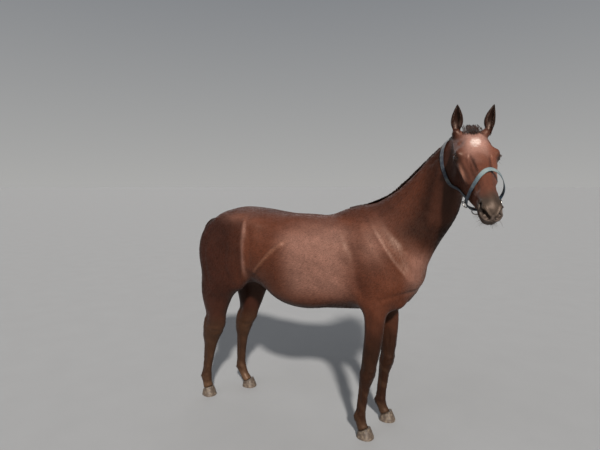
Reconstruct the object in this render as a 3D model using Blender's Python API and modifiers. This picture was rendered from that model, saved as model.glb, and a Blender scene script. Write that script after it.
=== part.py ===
"""A life-size standing horse, head turned to its right, wearing a loose halter.

Metres, +Z up, +X towards the horse's front, +Y towards its left. The body is worked out with
X = 0 under the withers and is set on the middle of its box at the end.
"""

import bmesh
import bpy
import numpy as np
from mathutils import Matrix, Vector
from mathutils.bvhtree import BVHTree

# Driving sizes
WITHERS = 1.55  # height of the withers above the floor
FLESH_VOXEL = 0.0095  # grain of the flesh before it is thinned out
FLESH_FACES = 4640  # triangles kept for all the flesh
GAP = 0.0003  # clearance between neighbours
LOOSE_GAP = 0.0012  # clearance of hair and straps over the flesh
CUT = 0.0004  # thickness of the cuts that part the flesh
RING_POINTS = 28
POLL = Vector((0.712, -0.130, 2.002))  # top of the head, between the ears
HEAD_YAW = np.radians(-67.0)  # heading of the face
HEAD_TILT = np.radians(46.0)  # face line from straight down
HEAD_SCALE = 1.02
HEAD_WIDEN = 1.07  # this horse has a broad forehead
EYE_RADIUS = 0.0215
EAR_LENGTH = 0.150
HOOF_LENGTH = 0.118
HOOF_WIDTH = 0.108
TOE_HEIGHT = 0.074
HEEL_HEIGHT = 0.036
STRAP_WIDTH = 0.024
STRAP_THICK = 0.0035
STRAP_CLEAR = 0.0018  # how far a strap keeps off the flesh
RING_RADIUS = 0.019
RING_WIRE = 0.0032

# Trunk: x, top, bottom, half width, height of the widest line, top power, bottom power
TRUNK = (
    (-1.260, 1.320, 1.150, 0.070, 1.250, 1.0, 1.0),
    (-1.225, 1.368, 1.020, 0.150, 1.230, 0.9, 1.0),
    (-1.120, 1.442, 0.950, 0.215, 1.240, 0.9, 1.0),
    (-0.960, 1.515, 0.920, 0.255, 1.250, 0.9, 1.0),
    (-0.800, 1.515, 0.940, 0.270, 1.240, 0.9, 1.0),
    (-0.650, 1.499, 0.880, 0.278, 1.180, 0.9, 0.95),
    (-0.500, 1.475, 0.832, 0.292, 1.130, 0.9, 0.9),
    (-0.350, 1.463, 0.815, 0.297, 1.110, 0.95, 0.9),
    (-0.200, 1.477, 0.817, 0.285, 1.100, 1.05, 0.9),
    (-0.080, 1.528, 0.824, 0.262, 1.090, 1.25, 0.95),
    (0.040, 1.562, 0.834, 0.235, 1.100, 1.35, 1.0),
    (0.170, 1.555, 0.850, 0.222, 1.120, 1.25, 1.0),
    (0.290, 1.490, 0.890, 0.200, 1.140, 1.1, 1.0),
    (0.390, 1.380, 0.960, 0.150, 1.150, 1.0, 1.0),
    (0.440, 1.260, 1.090, 0.080, 1.170, 1.0, 1.0),
)

# Neck: crest x, crest z, underline x, underline z, sideways shift, half width
NECK = (
    (-0.060, 1.500, 0.330, 0.960, 0.000, 0.160),
    (0.080, 1.552, 0.442, 1.110, 0.000, 0.160),
    (0.205, 1.621, 0.504, 1.245, 0.000, 0.140),
    (0.300, 1.697, 0.562, 1.345, -0.008, 0.118),
    (0.385, 1.773, 0.608, 1.425, -0.025, 0.103),
    (0.470, 1.850, 0.642, 1.510, -0.050, 0.094),
    (0.550, 1.917, 0.668, 1.615, -0.085, 0.088),
    (0.625, 1.966, 0.702, 1.715, -0.115, 0.084),
    (0.690, 1.985, 0.735, 1.790, -0.137, 0.062),
)

# Head, down the face from the poll: u, brow, chin side, top half width, cheek half width,
# cheek level, lower half width (u, v and w of the head's own axes)
HEAD = (
    (-0.030, -0.045, -0.110, 0.030, 0.052, -0.075, 0.034),
    (0.010, -0.012, -0.180, 0.052, 0.086, -0.075, 0.055),
    (0.070, 0.010, -0.245, 0.056, 0.097, -0.072, 0.066),
    (0.135, 0.020, -0.292, 0.062, 0.104, -0.062, 0.066),
    (0.195, 0.017, -0.300, 0.064, 0.107, -0.060, 0.060),
    (0.245, 0.010, -0.288, 0.056, 0.098, -0.065, 0.052),
    (0.300, 0.004, -0.262, 0.046, 0.084, -0.072, 0.046),
    (0.360, 0.000, -0.234, 0.037, 0.068, -0.076, 0.041),
    (0.420, -0.003, -0.206, 0.032, 0.057, -0.076, 0.037),
    (0.480, -0.007, -0.176, 0.030, 0.052, -0.070, 0.034),
    (0.530, -0.013, -0.158, 0.032, 0.054, -0.066, 0.036),
    (0.570, -0.026, -0.158, 0.034, 0.058, -0.072, 0.036),
    (0.602, -0.048, -0.146, 0.030, 0.051, -0.084, 0.032),
    (0.622, -0.078, -0.122, 0.016, 0.030, -0.100, 0.018),
)

# Legs: height, middle x, middle y, half depth, half width
FORELEG_R = (
    (1.020, 0.110, -0.130, 0.120, 0.070),
    (0.900, 0.166, -0.150, 0.088, 0.072),
    (0.800, 0.166, -0.150, 0.074, 0.062),
    (0.700, 0.160, -0.147, 0.066, 0.054),
    (0.600, 0.145, -0.144, 0.061, 0.048),
    (0.510, 0.130, -0.142, 0.055, 0.045),
    (0.460, 0.124, -0.141, 0.055, 0.049),
    (0.415, 0.116, -0.140, 0.053, 0.050),
    (0.375, 0.106, -0.139, 0.047, 0.043),
    (0.340, 0.098, -0.138, 0.042, 0.035),
    (0.260, 0.087, -0.137, 0.039, 0.030),
    (0.190, 0.078, -0.136, 0.038, 0.029),
    (0.150, 0.070, -0.135, 0.043, 0.032),
    (0.120, 0.068, -0.135, 0.047, 0.036),
    (0.090, 0.078, -0.135, 0.042, 0.035),
    (0.060, 0.092, -0.135, 0.045, 0.042),
    (0.030, 0.102, -0.135, 0.050, 0.047),
)
FORELEG_L = (
    (1.020, 0.110, 0.130, 0.120, 0.070),
    (0.900, 0.135, 0.150, 0.112, 0.074),
    (0.800, 0.157, 0.150, 0.092, 0.064),
    (0.700, 0.170, 0.148, 0.076, 0.055),
    (0.600, 0.172, 0.147, 0.063, 0.048),
    (0.510, 0.170, 0.147, 0.055, 0.045),
    (0.460, 0.166, 0.147, 0.055, 0.049),
    (0.415, 0.159, 0.148, 0.053, 0.050),
    (0.375, 0.150, 0.148, 0.047, 0.043),
    (0.340, 0.144, 0.149, 0.042, 0.035),
    (0.260, 0.134, 0.150, 0.039, 0.030),
    (0.190, 0.126, 0.151, 0.038, 0.029),
    (0.150, 0.120, 0.152, 0.043, 0.032),
    (0.120, 0.120, 0.153, 0.047, 0.036),
    (0.090, 0.134, 0.154, 0.042, 0.035),
    (0.060, 0.152, 0.155, 0.045, 0.042),
    (0.030, 0.165, 0.155, 0.050, 0.047),
)
HINDLEG_R = (
    (1.050, -1.020, -0.150, 0.210, 0.100),
    (0.930, -1.045, -0.155, 0.195, 0.100),
    (0.840, -1.090, -0.150, 0.150, 0.088),
    (0.760, -1.108, -0.143, 0.118, 0.074),
    (0.690, -1.118, -0.136, 0.094, 0.062),
    (0.640, -1.130, -0.131, 0.097, 0.055),
    (0.595, -1.144, -0.127, 0.106, 0.052),
    (0.540, -1.160, -0.124, 0.096, 0.052),
    (0.480, -1.178, -0.122, 0.078, 0.048),
    (0.420, -1.191, -0.120, 0.062, 0.039),
    (0.320, -1.208, -0.120, 0.049, 0.033),
    (0.220, -1.228, -0.119, 0.043, 0.031),
    (0.170, -1.238, -0.118, 0.048, 0.034),
    (0.135, -1.240, -0.118, 0.050, 0.037),
    (0.100, -1.232, -0.118, 0.044, 0.036),
    (0.065, -1.222, -0.118, 0.046, 0.042),
    (0.030, -1.215, -0.118, 0.050, 0.046),
)
HINDLEG_L = (
    (1.050, -0.985, 0.150, 0.210, 0.100),
    (0.930, -0.980, 0.157, 0.190, 0.100),
    (0.840, -0.982, 0.155, 0.150, 0.088),
    (0.760, -0.985, 0.152, 0.118, 0.074),
    (0.690, -0.995, 0.150, 0.096, 0.062),
    (0.640, -1.012, 0.149, 0.095, 0.054),
    (0.590, -1.030, 0.149, 0.100, 0.050),
    (0.540, -1.052, 0.149, 0.086, 0.050),
    (0.480, -1.064, 0.150, 0.070, 0.046),
    (0.420, -1.074, 0.151, 0.056, 0.037),
    (0.320, -1.084, 0.153, 0.046, 0.032),
    (0.220, -1.090, 0.154, 0.043, 0.031),
    (0.170, -1.092, 0.155, 0.048, 0.034),
    (0.135, -1.086, 0.156, 0.050, 0.037),
    (0.100, -1.066, 0.156, 0.044, 0.036),
    (0.065, -1.040, 0.157, 0.046, 0.042),
    (0.030, -1.020, 0.157, 0.050, 0.046),
)

# Muscles and points of bone on each side: x, y, z, three half sizes, lean about Y in degrees
MASSES = (
    (0.145, 0.146, 1.270, 0.090, 0.058, 0.210, -38.0),  # shoulder blade
    (0.345, 0.125, 1.110, 0.085, 0.072, 0.100, 0.0),  # point of shoulder
    (0.060, 0.162, 1.060, 0.110, 0.072, 0.170, -8.0),  # triceps
    (0.215, 0.148, 1.010, 0.160, 0.080, 0.105, -29.0),  # upper arm
    (0.155, 0.150, 0.905, 0.090, 0.070, 0.110, 0.0),  # top of forearm
    (0.355, 0.068, 1.090, 0.095, 0.075, 0.120, 15.0),  # breast
    (0.265, 0.090, 0.945, 0.105, 0.070, 0.085, 0.0),  # between breast and foreleg
    (0.010, 0.050, 1.475, 0.150, 0.045, 0.055, 0.0),  # beside the withers
    (-0.420, 0.070, 1.415, 0.340, 0.090, 0.060, 0.0),  # loin
    (-0.880, 0.120, 1.370, 0.250, 0.135, 0.130, 6.0),  # rump
    (-0.715, 0.205, 1.380, 0.065, 0.045, 0.055, 0.0),  # point of hip
    (-1.055, 0.150, 1.140, 0.200, 0.116, 0.290, -6.0),  # thigh, back half
    (-0.875, 0.172, 1.110, 0.115, 0.092, 0.220, 17.0),  # thigh, front half
    (-1.190, 0.085, 1.235, 0.082, 0.080, 0.150, -5.0),  # point of buttock
    (-0.350, 0.140, 1.000, 0.330, 0.150, 0.180, 0.0),  # belly side
)
STIFLES = ((-0.870, -0.172, 0.960), (-0.850, 0.172, 0.960))
STIFLE_SIZE = (0.066, 0.052, 0.085)

# On the head, in its own axes: u, v, w, three half sizes
CHEEK = (0.160, -0.180, 0.070, 0.098, 0.092, 0.034)
BROW = (0.188, -0.028, 0.090, 0.036, 0.026, 0.026)
UNDER_EYE = (0.214, -0.072, 0.092, 0.030, 0.016, 0.014)
EAR_BASE = (0.012, -0.030, 0.075, 0.032, 0.034, 0.028)
CREST = (0.315, -0.078, 0.073, 0.070, 0.010, 0.012)
NOSTRIL_RIM = (0.566, -0.058, 0.044, 0.026, 0.026, 0.016)
NOSTRIL = (0.574, -0.064, 0.053, 0.024, 0.014, 0.018)
CHIN = (0.552, -0.160, 0.0, 0.030, 0.020, 0.030)
UPPER_LIP = (0.600, -0.085, 0.0, 0.026, 0.034, 0.040)
EYE = (0.198, -0.050, 0.0930)
EARS = ((-1, 0.076, 0.01), (1, 0.090, 0.13))  # side, distance from the middle, lean outwards
EAR_ROOT = (0.012, -0.022)
# Ear from root to tip: share of length, half width, half depth
EAR = (
    (0.00, 0.019, 0.020),
    (0.15, 0.027, 0.025),
    (0.38, 0.034, 0.025),
    (0.62, 0.029, 0.019),
    (0.84, 0.016, 0.010),
    (1.00, 0.004, 0.004),
)
EAR_WALL = 0.0045

# Where the flesh is parted: name, two points of the cut, spread, extra length, width
CUTS = (
    ("cut_head", (0.615, -0.108, 1.562), (0.505, -0.012, 1.978), (0.663, 0.748, 0), 0.06, 0.44),
    ("cut_neck", (0.060, 0, 1.600), (0.490, 0, 1.110), (0, 1, 0), 0.16, 0.60),
    ("cut_fore_R", (-0.060, -0.16, 0.812), (0.380, -0.16, 0.812), (0, 1, 0), 0.0, 0.26),
    ("cut_fore_L", (-0.060, 0.16, 0.812), (0.380, 0.16, 0.812), (0, 1, 0), 0.0, 0.26),
    ("cut_hind_R", (-1.360, -0.17, 0.880), (-0.790, -0.17, 0.880), (0, 1, 0), 0.0, 0.32),
    ("cut_hind_L", (-1.360, 0.17, 0.880), (-0.790, 0.17, 0.880), (0, 1, 0), 0.0, 0.32),
)
# Each piece of flesh after the cuts, and about where its middle lies
FLESH_NODES = {
    "head": (0.78, -0.30, 1.75),
    "neck": (0.42, 0.0, 1.60),
    "trunk": (-0.40, 0.0, 1.20),
    "foreleg_R": (0.11, -0.14, 0.45),
    "foreleg_L": (0.15, 0.15, 0.45),
    "hindleg_R": (-1.15, -0.13, 0.50),
    "hindleg_L": (-1.05, 0.15, 0.50),
}

# Hooves: name, middle x, middle y, toe turned out in degrees (+ to the horse's left)
HOOVES = (
    ("hoof_fore_R", 0.108, -0.135, -8.0),
    ("hoof_fore_L", 0.172, 0.155, 6.0),
    ("hoof_hind_R", -1.212, -0.120, -18.0),
    ("hoof_hind_L", -1.012, 0.157, 8.0),
)

# Mane along the crest, up to the halter: crest x, crest z, sideways shift, drop down the left side
MANE = (
    (-0.060, 1.535, 0.000, 0.040),
    (0.060, 1.562, 0.000, 0.090),
    (0.205, 1.624, 0.000, 0.125),
    (0.300, 1.700, -0.008, 0.135),
    (0.385, 1.777, -0.025, 0.135),
    (0.470, 1.854, -0.050, 0.125),
    (0.532, 1.906, -0.077, 0.100),
)
# Across the mane, from its near edge to the tips on the left: sideways, share of the drop
MANE_ACROSS = ((-0.030, 0.14), (-0.004, -0.02), (0.035, 0.12), (0.12, 0.5), (0.16, 1.0))
MANE_THICK = 0.013
FORELOCK_THICK = 0.012

# Tail: x, y, z, half depth, half width
TAIL = (
    (-1.140, 0.000, 1.388, 0.020, 0.024),
    (-1.215, 0.000, 1.388, 0.028, 0.030),
    (-1.272, 0.000, 1.345, 0.032, 0.036),
    (-1.296, 0.004, 1.240, 0.036, 0.044),
    (-1.300, 0.008, 1.080, 0.042, 0.054),
    (-1.298, 0.014, 0.900, 0.044, 0.058),
    (-1.292, 0.020, 0.730, 0.040, 0.052),
    (-1.286, 0.026, 0.580, 0.030, 0.038),
    (-1.280, 0.030, 0.450, 0.010, 0.012),
)

TAIL_RINGS = 20

# Halter, in the head's own axes
NOSEBAND = (
    (0.350, 0.006, 0.010),
    (0.346, 0.000, 0.038),
    (0.352, -0.018, 0.070),
    (0.362, -0.060, 0.096),
    (0.373, -0.110, 0.114),
    (0.384, -0.165, 0.112),
    (0.398, -0.220, 0.070),
    (0.406, -0.244, 0.000),
    (0.402, -0.222, -0.046),
    (0.404, -0.176, -0.060),
    (0.416, -0.120, -0.064),
    (0.420, -0.072, -0.062),
    (0.404, -0.026, -0.046),
    (0.374, 0.000, -0.020),
)
# From the noseband's left ring, over the neck behind the ears, down to its right ring
CROWN = (
    (0.378, -0.196, 0.062),
    (0.315, -0.226, 0.070),
    (0.240, -0.256, 0.080),
    (0.150, -0.262, 0.094),
    (0.070, -0.220, 0.104),
    (0.010, -0.140, 0.104),
    (-0.030, -0.070, 0.080),
    (-0.055, -0.045, 0.000),
    (-0.030, -0.070, -0.080),
    (0.020, -0.110, -0.125),
    (0.075, -0.150, -0.145),
    (0.130, -0.177, -0.140),
    (0.175, -0.207, -0.122),
    (0.204, -0.240, -0.104),
    (0.240, -0.256, -0.082),
    (0.315, -0.226, -0.066),
    (0.385, -0.196, -0.058),
)
RINGS = (("R", 0.402, -0.196, -0.058), ("L", 0.390, -0.192, 0.096), ("chin", 0.408, -0.244, 0.000))

COATS = {
    "chestnut_coat": ((0.135, 0.045, 0.026), 0.42),
    "dark_legs": ((0.060, 0.026, 0.018), 0.48),
    "black_hair": ((0.018, 0.012, 0.010), 0.50),
    "hoof_horn": ((0.150, 0.115, 0.090), 0.55),
    "eye_dark": ((0.010, 0.006, 0.005), 0.08),
    "halter_webbing": ((0.045, 0.140, 0.180), 0.70),
    "halter_metal": ((0.560, 0.540, 0.500), 0.30),
}
METAL = ("halter_metal",)

for old in list(bpy.data.objects):
    bpy.data.objects.remove(old, do_unlink=True)

horse = bpy.data.collections.new("horse")
cutters = bpy.data.collections.new("cutters")
cutters.hide_render = True
for group in (horse, cutters):
    bpy.context.scene.collection.children.link(group)


def material(name):
    """The named coat, made once."""
    made = bpy.data.materials.get(name)
    if made:
        return made
    colour, rough = COATS[name]
    made = bpy.data.materials.new(name)
    made.use_nodes = True
    shader = made.node_tree.nodes["Principled BSDF"]
    shader.inputs["Base Color"].default_value = (*colour, 1.0)
    shader.inputs["Roughness"].default_value = rough
    shader.inputs["Metallic"].default_value = 1.0 if name in METAL else 0.0
    made.diffuse_color = (*colour, 1.0)
    return made


def place(bm, name, coat=None, group=horse):
    """Turns the mesh outwards and makes an object of it."""
    bmesh.ops.recalc_face_normals(bm, faces=bm.faces)
    mesh = bpy.data.meshes.new(name)
    bm.to_mesh(mesh)
    bm.free()
    made = bpy.data.objects.new(name, mesh)
    group.objects.link(made)
    if coat:
        mesh.materials.append(material(coat))
    else:
        made.hide_render = True
        made.display_type = "WIRE"
    return made


def spline(rows, count):
    """Rows of numbers, carried through smoothly at count steps."""
    rows = np.asarray(rows, float)
    ends = np.vstack([2 * rows[0] - rows[1], rows, 2 * rows[-1] - rows[-2]])
    steps = np.linspace(0, len(rows) - 1, count)
    index = np.minimum(steps.astype(int), len(rows) - 2)
    t = (steps - index)[:, None]
    a, b, c, d = (ends[index + k] for k in range(4))
    return 0.5 * (2 * b + (c - a) * t + (2 * a - 5 * b + 4 * c - d) * t**2 + (3 * b - a - 3 * c + d) * t**3)


def loft(bm, rings):
    """Closed skin over rings of equal count, with a fan on each end."""
    verts = [[bm.verts.new(p) for p in ring] for ring in rings]
    count = len(verts[0])
    for low, high in zip(verts, verts[1:]):
        for i in range(count):
            j = (i + 1) % count
            bm.faces.new((low[i], low[j], high[j], high[i]))
    for ring in (verts[0], verts[-1]):
        middle = bm.verts.new(sum((v.co for v in ring), Vector()) / count)
        for i in range(count):
            bm.faces.new((ring[i], ring[(i + 1) % count], middle))


def signed_power(value, power):
    return np.sign(value) * np.abs(value) ** power


def trunk_rings():
    angle = np.linspace(0, 2 * np.pi, RING_POINTS, endpoint=False)
    side, rise = np.cos(angle), np.sin(angle)
    for x, top, bottom, half, wide, top_power, bottom_power in spline(TRUNK, 46):
        power = np.where(rise > 0, top_power, bottom_power)
        height = np.where(rise > 0, top - wide, wide - bottom)
        y = half * signed_power(side, power)
        z = wide + height * signed_power(rise, 0.95)
        yield [(x, b, c) for b, c in zip(y, z)]


def neck_rings():
    angle = np.linspace(0, 2 * np.pi, RING_POINTS, endpoint=False)
    rows = spline(NECK, 26)
    for i, (cx, cz, ux, uz, shift, half) in enumerate(rows):
        crest = np.array((cx, shift, cz))
        under = np.array((ux, shift, uz))
        ahead = rows[min(i + 1, len(rows) - 1)] - rows[max(i - 1, 0)]
        forward = np.array(((ahead[0] + ahead[2]) / 2, ahead[4], (ahead[1] + ahead[3]) / 2))
        down = (under - crest) / 2
        across = np.cross(down, forward)
        across *= half / np.linalg.norm(across)
        middle = (crest + under) / 2
        narrow = 1 - 0.22 * np.clip(-np.sin(angle), 0, 1)
        yield [middle + down * s + across * c * n for s, c, n in zip(np.sin(angle), np.cos(angle), narrow)]


FACE_AHEAD = Vector((np.cos(HEAD_YAW), np.sin(HEAD_YAW), 0.0))
DOWN_FACE = FACE_AHEAD * np.sin(HEAD_TILT) - Vector((0, 0, 1)) * np.cos(HEAD_TILT)
OFF_FACE = FACE_AHEAD * np.cos(HEAD_TILT) + Vector((0, 0, 1)) * np.sin(HEAD_TILT)
HEAD_LEFT = Vector((-np.sin(HEAD_YAW), np.cos(HEAD_YAW), 0.0))


def on_head(u, v, w):
    """A place given down the face, off the face and to the horse's left."""
    return POLL + (DOWN_FACE * u + OFF_FACE * v + HEAD_LEFT * w * HEAD_WIDEN) * HEAD_SCALE


def head_matrix(u, v, w, sizes):
    """Places a unit ball on the head, its axes down, off and across the face."""
    turn = Matrix((DOWN_FACE, OFF_FACE, HEAD_LEFT)).transposed().to_4x4()
    size = Matrix.Diagonal((*[s * HEAD_SCALE for s in sizes], 1))
    return Matrix.Translation(on_head(u, v, w)) @ turn @ size


def head_rings():
    for u, brow, chin, top, cheek, level, low in spline(HEAD, 44):
        half = [
            (brow, 0.0),
            (brow - 0.004, 0.55 * top),
            (brow - 0.016, top),
            (0.5 * (brow + level), 0.5 * (top + cheek) + 0.004),
            (level, cheek),
            (0.55 * level + 0.45 * chin, 0.45 * cheek + 0.55 * low + 0.004),
            (chin + 0.025, low),
            (chin + 0.004, 0.55 * low),
            (chin, 0.0),
        ]
        ring = half + [(v, -w) for v, w in half[-2:0:-1]]
        yield [on_head(u, v, w) for v, w in ring]


def leg_rings(rows):
    angle = np.linspace(0, 2 * np.pi, 20, endpoint=False)
    for z, x, y, deep, wide in spline(rows, 64):
        yield [(x + deep * np.cos(a), y + wide * np.sin(a), z) for a in angle]


def ball(bm, matrix):
    bmesh.ops.create_uvsphere(bm, u_segments=24, v_segments=14, radius=1.0, matrix=matrix)


def flesh_mesh():
    """All the flesh as overlapping closed shapes."""
    bm = bmesh.new()
    loft(bm, list(trunk_rings()))
    loft(bm, list(neck_rings()))
    loft(bm, list(head_rings()))
    for rows in (FORELEG_R, FORELEG_L, HINDLEG_R, HINDLEG_L):
        loft(bm, list(leg_rings(rows)))
    for x, y, z, a, b, c, lean in MASSES:
        for side in (-1, 1):
            turn = Matrix.Rotation(np.radians(lean), 4, "Y")
            ball(bm, Matrix.Translation((x, side * y, z)) @ turn @ Matrix.Diagonal((a, b, c, 1)))
    for place_at in STIFLES:
        ball(bm, Matrix.Translation(place_at) @ Matrix.Diagonal((*STIFLE_SIZE, 1)))
    for u, v, w, *sizes in (CHEEK, BROW, UNDER_EYE, EAR_BASE, CREST, NOSTRIL_RIM):
        for side in (-1, 1):
            ball(bm, head_matrix(u, v, side * w, sizes))
    for u, v, w, *sizes in (CHIN, UPPER_LIP):
        ball(bm, head_matrix(u, v, w, sizes))
    return bm


def applied(made):
    """The object with its modifiers worked in."""
    bpy.context.view_layer.update()
    graph = bpy.context.evaluated_depsgraph_get()
    mesh = bpy.data.meshes.new_from_object(made.evaluated_get(graph))
    made.modifiers.clear()
    made.data = mesh
    return made


def fine_zone(co):
    """How closely the surface is kept at this place, from 0 to 1."""
    on_face = (co - on_head(0.30, -0.10, 0.0)).length
    if on_face < 0.42 and co.z > 1.45 and co.x > 0.55:
        return 0.9
    return 0.6 if co.z < 0.70 else 0.3


def broad_zone(co):
    """How far the masses are run into each other here, from 0 to 1."""
    off_head = np.clip(((co - on_head(0.25, -0.10, 0.0)).length - 0.34) / 0.12, 0, 1)
    off_legs = np.clip((co.z - 0.72) / 0.22, 0, 1)
    return float(min(off_head, off_legs))


flesh = place(flesh_mesh(), "flesh", group=cutters)
remesh = flesh.modifiers.new("grain", "REMESH")
remesh.mode = "VOXEL"
remesh.voxel_size = FLESH_VOXEL
remesh.use_smooth_shade = True
applied(flesh)
fine = flesh.vertex_groups.new(name="fine")
broad = flesh.vertex_groups.new(name="broad")
for vertex in flesh.data.vertices:
    fine.add((vertex.index,), fine_zone(vertex.co), "REPLACE")
    broad.add((vertex.index,), broad_zone(vertex.co), "REPLACE")
for name, rounds in (("fine", 7), ("broad", 110)):
    soften = flesh.modifiers.new("soften_" + name, "SMOOTH")
    soften.factor = 0.5
    soften.iterations = rounds
    soften.vertex_group = "" if name == "fine" else name
applied(flesh)
thin = flesh.modifiers.new("thin", "DECIMATE")
thin.ratio = FLESH_FACES / (2 * len(flesh.data.polygons))
thin.vertex_group = "fine"
thin.vertex_group_factor = 0.3
thin.invert_vertex_group = True
thin.use_collapse_triangulate = True
applied(flesh)


def box_cutter(name, middle, axes, sizes):
    """A block with the given unit axes and full sizes."""
    bm = bmesh.new()
    turn = Matrix([Vector(a).normalized() for a in axes]).transposed().to_4x4()
    matrix = Matrix.Translation(middle) @ turn @ Matrix.Diagonal((*sizes, 1))
    bmesh.ops.create_cube(bm, size=1.0, matrix=matrix)
    return place(bm, name, group=cutters)


def take_away(made, cutter, solver="EXACT"):
    cut = made.modifiers.new(cutter.name, "BOOLEAN")
    cut.operation = "DIFFERENCE"
    cut.solver = solver
    cut.object = cutter


def grown(made, name, clearance=GAP):
    """A copy swollen by the clearance, to cut a neighbour with."""
    copy = bpy.data.objects.new(name, made.data.copy())
    copy.hide_render = True
    copy.display_type = "WIRE"
    cutters.objects.link(copy)
    swell = copy.modifiers.new("swell", "DISPLACE")
    swell.strength = clearance
    swell.mid_level = 0.0
    return copy


def make_way(made, neighbours):
    """Cuts the made piece back from its neighbours."""
    for near in neighbours:
        take_away(made, grown(near, made.name + "_from_" + near.name))
    return largest(made)


def islands(mesh):
    """The mesh's separate bodies, largest first."""
    bm = bmesh.new()
    bm.from_mesh(mesh)
    left = set(bm.verts)
    found = []
    while left:
        group = {left.pop()}
        front = list(group)
        while front:
            near = {edge.other_vert(v) for v in front for edge in v.link_edges} - group
            group |= near
            front = list(near)
        left -= group
        found.append(sorted(v.index for v in group))
    bm.free()
    return sorted(found, key=len, reverse=True)


def keep_island(mesh, kept, name):
    """A copy of the mesh with only the kept vertices."""
    bm = bmesh.new()
    bm.from_mesh(mesh)
    kept = set(kept)
    bmesh.ops.delete(bm, geom=[v for v in bm.verts if v.index not in kept], context="VERTS")
    made = bpy.data.meshes.new(name)
    bm.to_mesh(made)
    bm.free()
    for coat in mesh.materials:
        made.materials.append(coat)
    return made


def largest(made):
    """Works the cuts in and drops any crumb."""
    applied(made)
    made.data = keep_island(made.data, islands(made.data)[0], made.name)
    return made


def hoof_plane(x):
    """Height of the top of the hoof at a distance ahead of its middle."""
    heel, toe = -0.052, 0.030
    return HEEL_HEIGHT + (x - heel) / (toe - heel) * (TOE_HEIGHT - HEEL_HEIGHT)


def hoof(name, x, y, turned):
    """A hoof with a flat sole, and the block that clears the leg above it."""
    angle = np.linspace(0, 2 * np.pi, 24, endpoint=False)
    ahead, side = signed_power(np.cos(angle), 0.85), signed_power(np.sin(angle), 0.9)
    heel = np.clip(-np.cos(angle) - 0.55, 0, 1) * (np.abs(np.sin(angle)) < 0.35)
    half, wide = HOOF_LENGTH / 2, HOOF_WIDTH / 2
    sole = np.column_stack([half * ahead + 0.03 * heel, wide * side])
    crown = np.column_stack([0.041 * ahead - 0.012 + 0.010 * heel, 0.041 * side])
    turn = Matrix.Translation((x, y, 0)) @ Matrix.Rotation(np.radians(turned), 4, "Z")
    bm = bmesh.new()
    rings = []
    for up in (0.0, 0.06, 1.0):
        flat = sole * (1 - up) + crown * up
        if up == 0.0:
            flat = sole * 0.965
        rings.append([turn @ Vector((a, b, up * hoof_plane(a))) for a, b in flat])
    loft(bm, rings)
    place(bm, name, "hoof_horn")
    lean = np.arctan2(TOE_HEIGHT - HEEL_HEIGHT, 0.082)
    across = turn.to_3x3() @ Vector((0, 1, 0))
    along = turn.to_3x3() @ Vector((np.cos(lean), 0, np.sin(lean)))
    up = along.cross(across)
    top = turn @ Vector((0, 0, hoof_plane(0) + GAP))
    return box_cutter("clear_" + name, top - up * 0.10, (along, across, up), (0.24, 0.20, 0.20))


for name, x, y, turned in HOOVES:
    take_away(flesh, hoof(name, x, y, turned))
solid_flesh = grown(applied(flesh), "flesh_clearance")
under_loose = grown(flesh, "loose_clearance", LOOSE_GAP)
surface = BVHTree.FromObject(flesh, bpy.context.evaluated_depsgraph_get())

# Eyes in their sockets, and nostrils
for side, tag in ((-1, "R"), (1, "L")):
    eye_at = Matrix.Translation(on_head(EYE[0], EYE[1], side * EYE[2]))
    nostril_at = head_matrix(NOSTRIL[0], NOSTRIL[1], side * NOSTRIL[2], NOSTRIL[3:])
    for name, radius, matrix, coat in (
        ("eye_" + tag, EYE_RADIUS, eye_at, "eye_dark"),
        ("socket_" + tag, EYE_RADIUS + GAP, eye_at, None),
        ("nostril_" + tag, 1.0, nostril_at, None),
    ):
        bm = bmesh.new()
        bmesh.ops.create_icosphere(bm, subdivisions=2, radius=radius, matrix=matrix)
        made = place(bm, name, coat, horse if coat else cutters)
        if not coat:
            take_away(flesh, made)


# Cuts that part the flesh
def slab(name, low, high, across, length, width):
    """A thin block through two points, spread across a direction."""
    low, high, across = Vector(low), Vector(high), Vector(across)
    return box_cutter(
        name,
        (low + high) / 2,
        (high - low, across, (high - low).cross(across)),
        ((high - low).length + length, width, CUT),
    )


for name, low, high, across, more_length, width in CUTS:
    take_away(flesh, slab(name, low, high, across, more_length, width))
applied(flesh)

for group in islands(flesh.data)[: len(FLESH_NODES)]:
    middle = sum((flesh.data.vertices[i].co for i in group), Vector()) / len(group)
    name = min(FLESH_NODES, key=lambda n: (Vector(FLESH_NODES[n]) - middle).length)
    made = bpy.data.objects.new(name, keep_island(flesh.data, group, name))
    made.data.materials.clear()
    made.data.materials.append(material("dark_legs" if "leg" in name else "chestnut_coat"))
    horse.objects.link(made)


def ear(tag, side, apart, outward):
    """A cupped ear, open ahead, cut off where the head starts."""
    root = on_head(*EAR_ROOT, side * apart)
    axis = (Vector((0, 0, 1)) + FACE_AHEAD * 0.10 + HEAD_LEFT * side * outward).normalized()
    open_to = (FACE_AHEAD + HEAD_LEFT * side * 0.35).normalized()
    back = -(open_to - axis * open_to.dot(axis)).normalized()
    broad = axis.cross(back)
    bm = bmesh.new()
    rings = []
    for share, half, deep in spline(EAR, 9):
        middle = root + axis * (share * EAR_LENGTH) + back * (0.012 * np.sin(np.pi * share))
        sweep = np.radians(np.linspace(-118, 118, 9))
        shell = [middle + broad * half * np.sin(a) + back * deep * np.cos(a) for a in sweep]
        thin = 1 - min(0.8, EAR_WALL / half)
        inside = sweep[::-1] * 0.93
        hollow = [middle + (broad * half * np.sin(a) + back * deep * np.cos(a)) * thin for a in inside]
        rings.append(shell + hollow)
    loft(bm, rings)
    made = place(bm, "ear_" + tag, "chestnut_coat")
    take_away(made, solid_flesh, "MANIFOLD")
    return largest(made)


ears = [ear(tag, *ear_place) for ear_place, tag in zip(EARS, "RL")]


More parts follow.
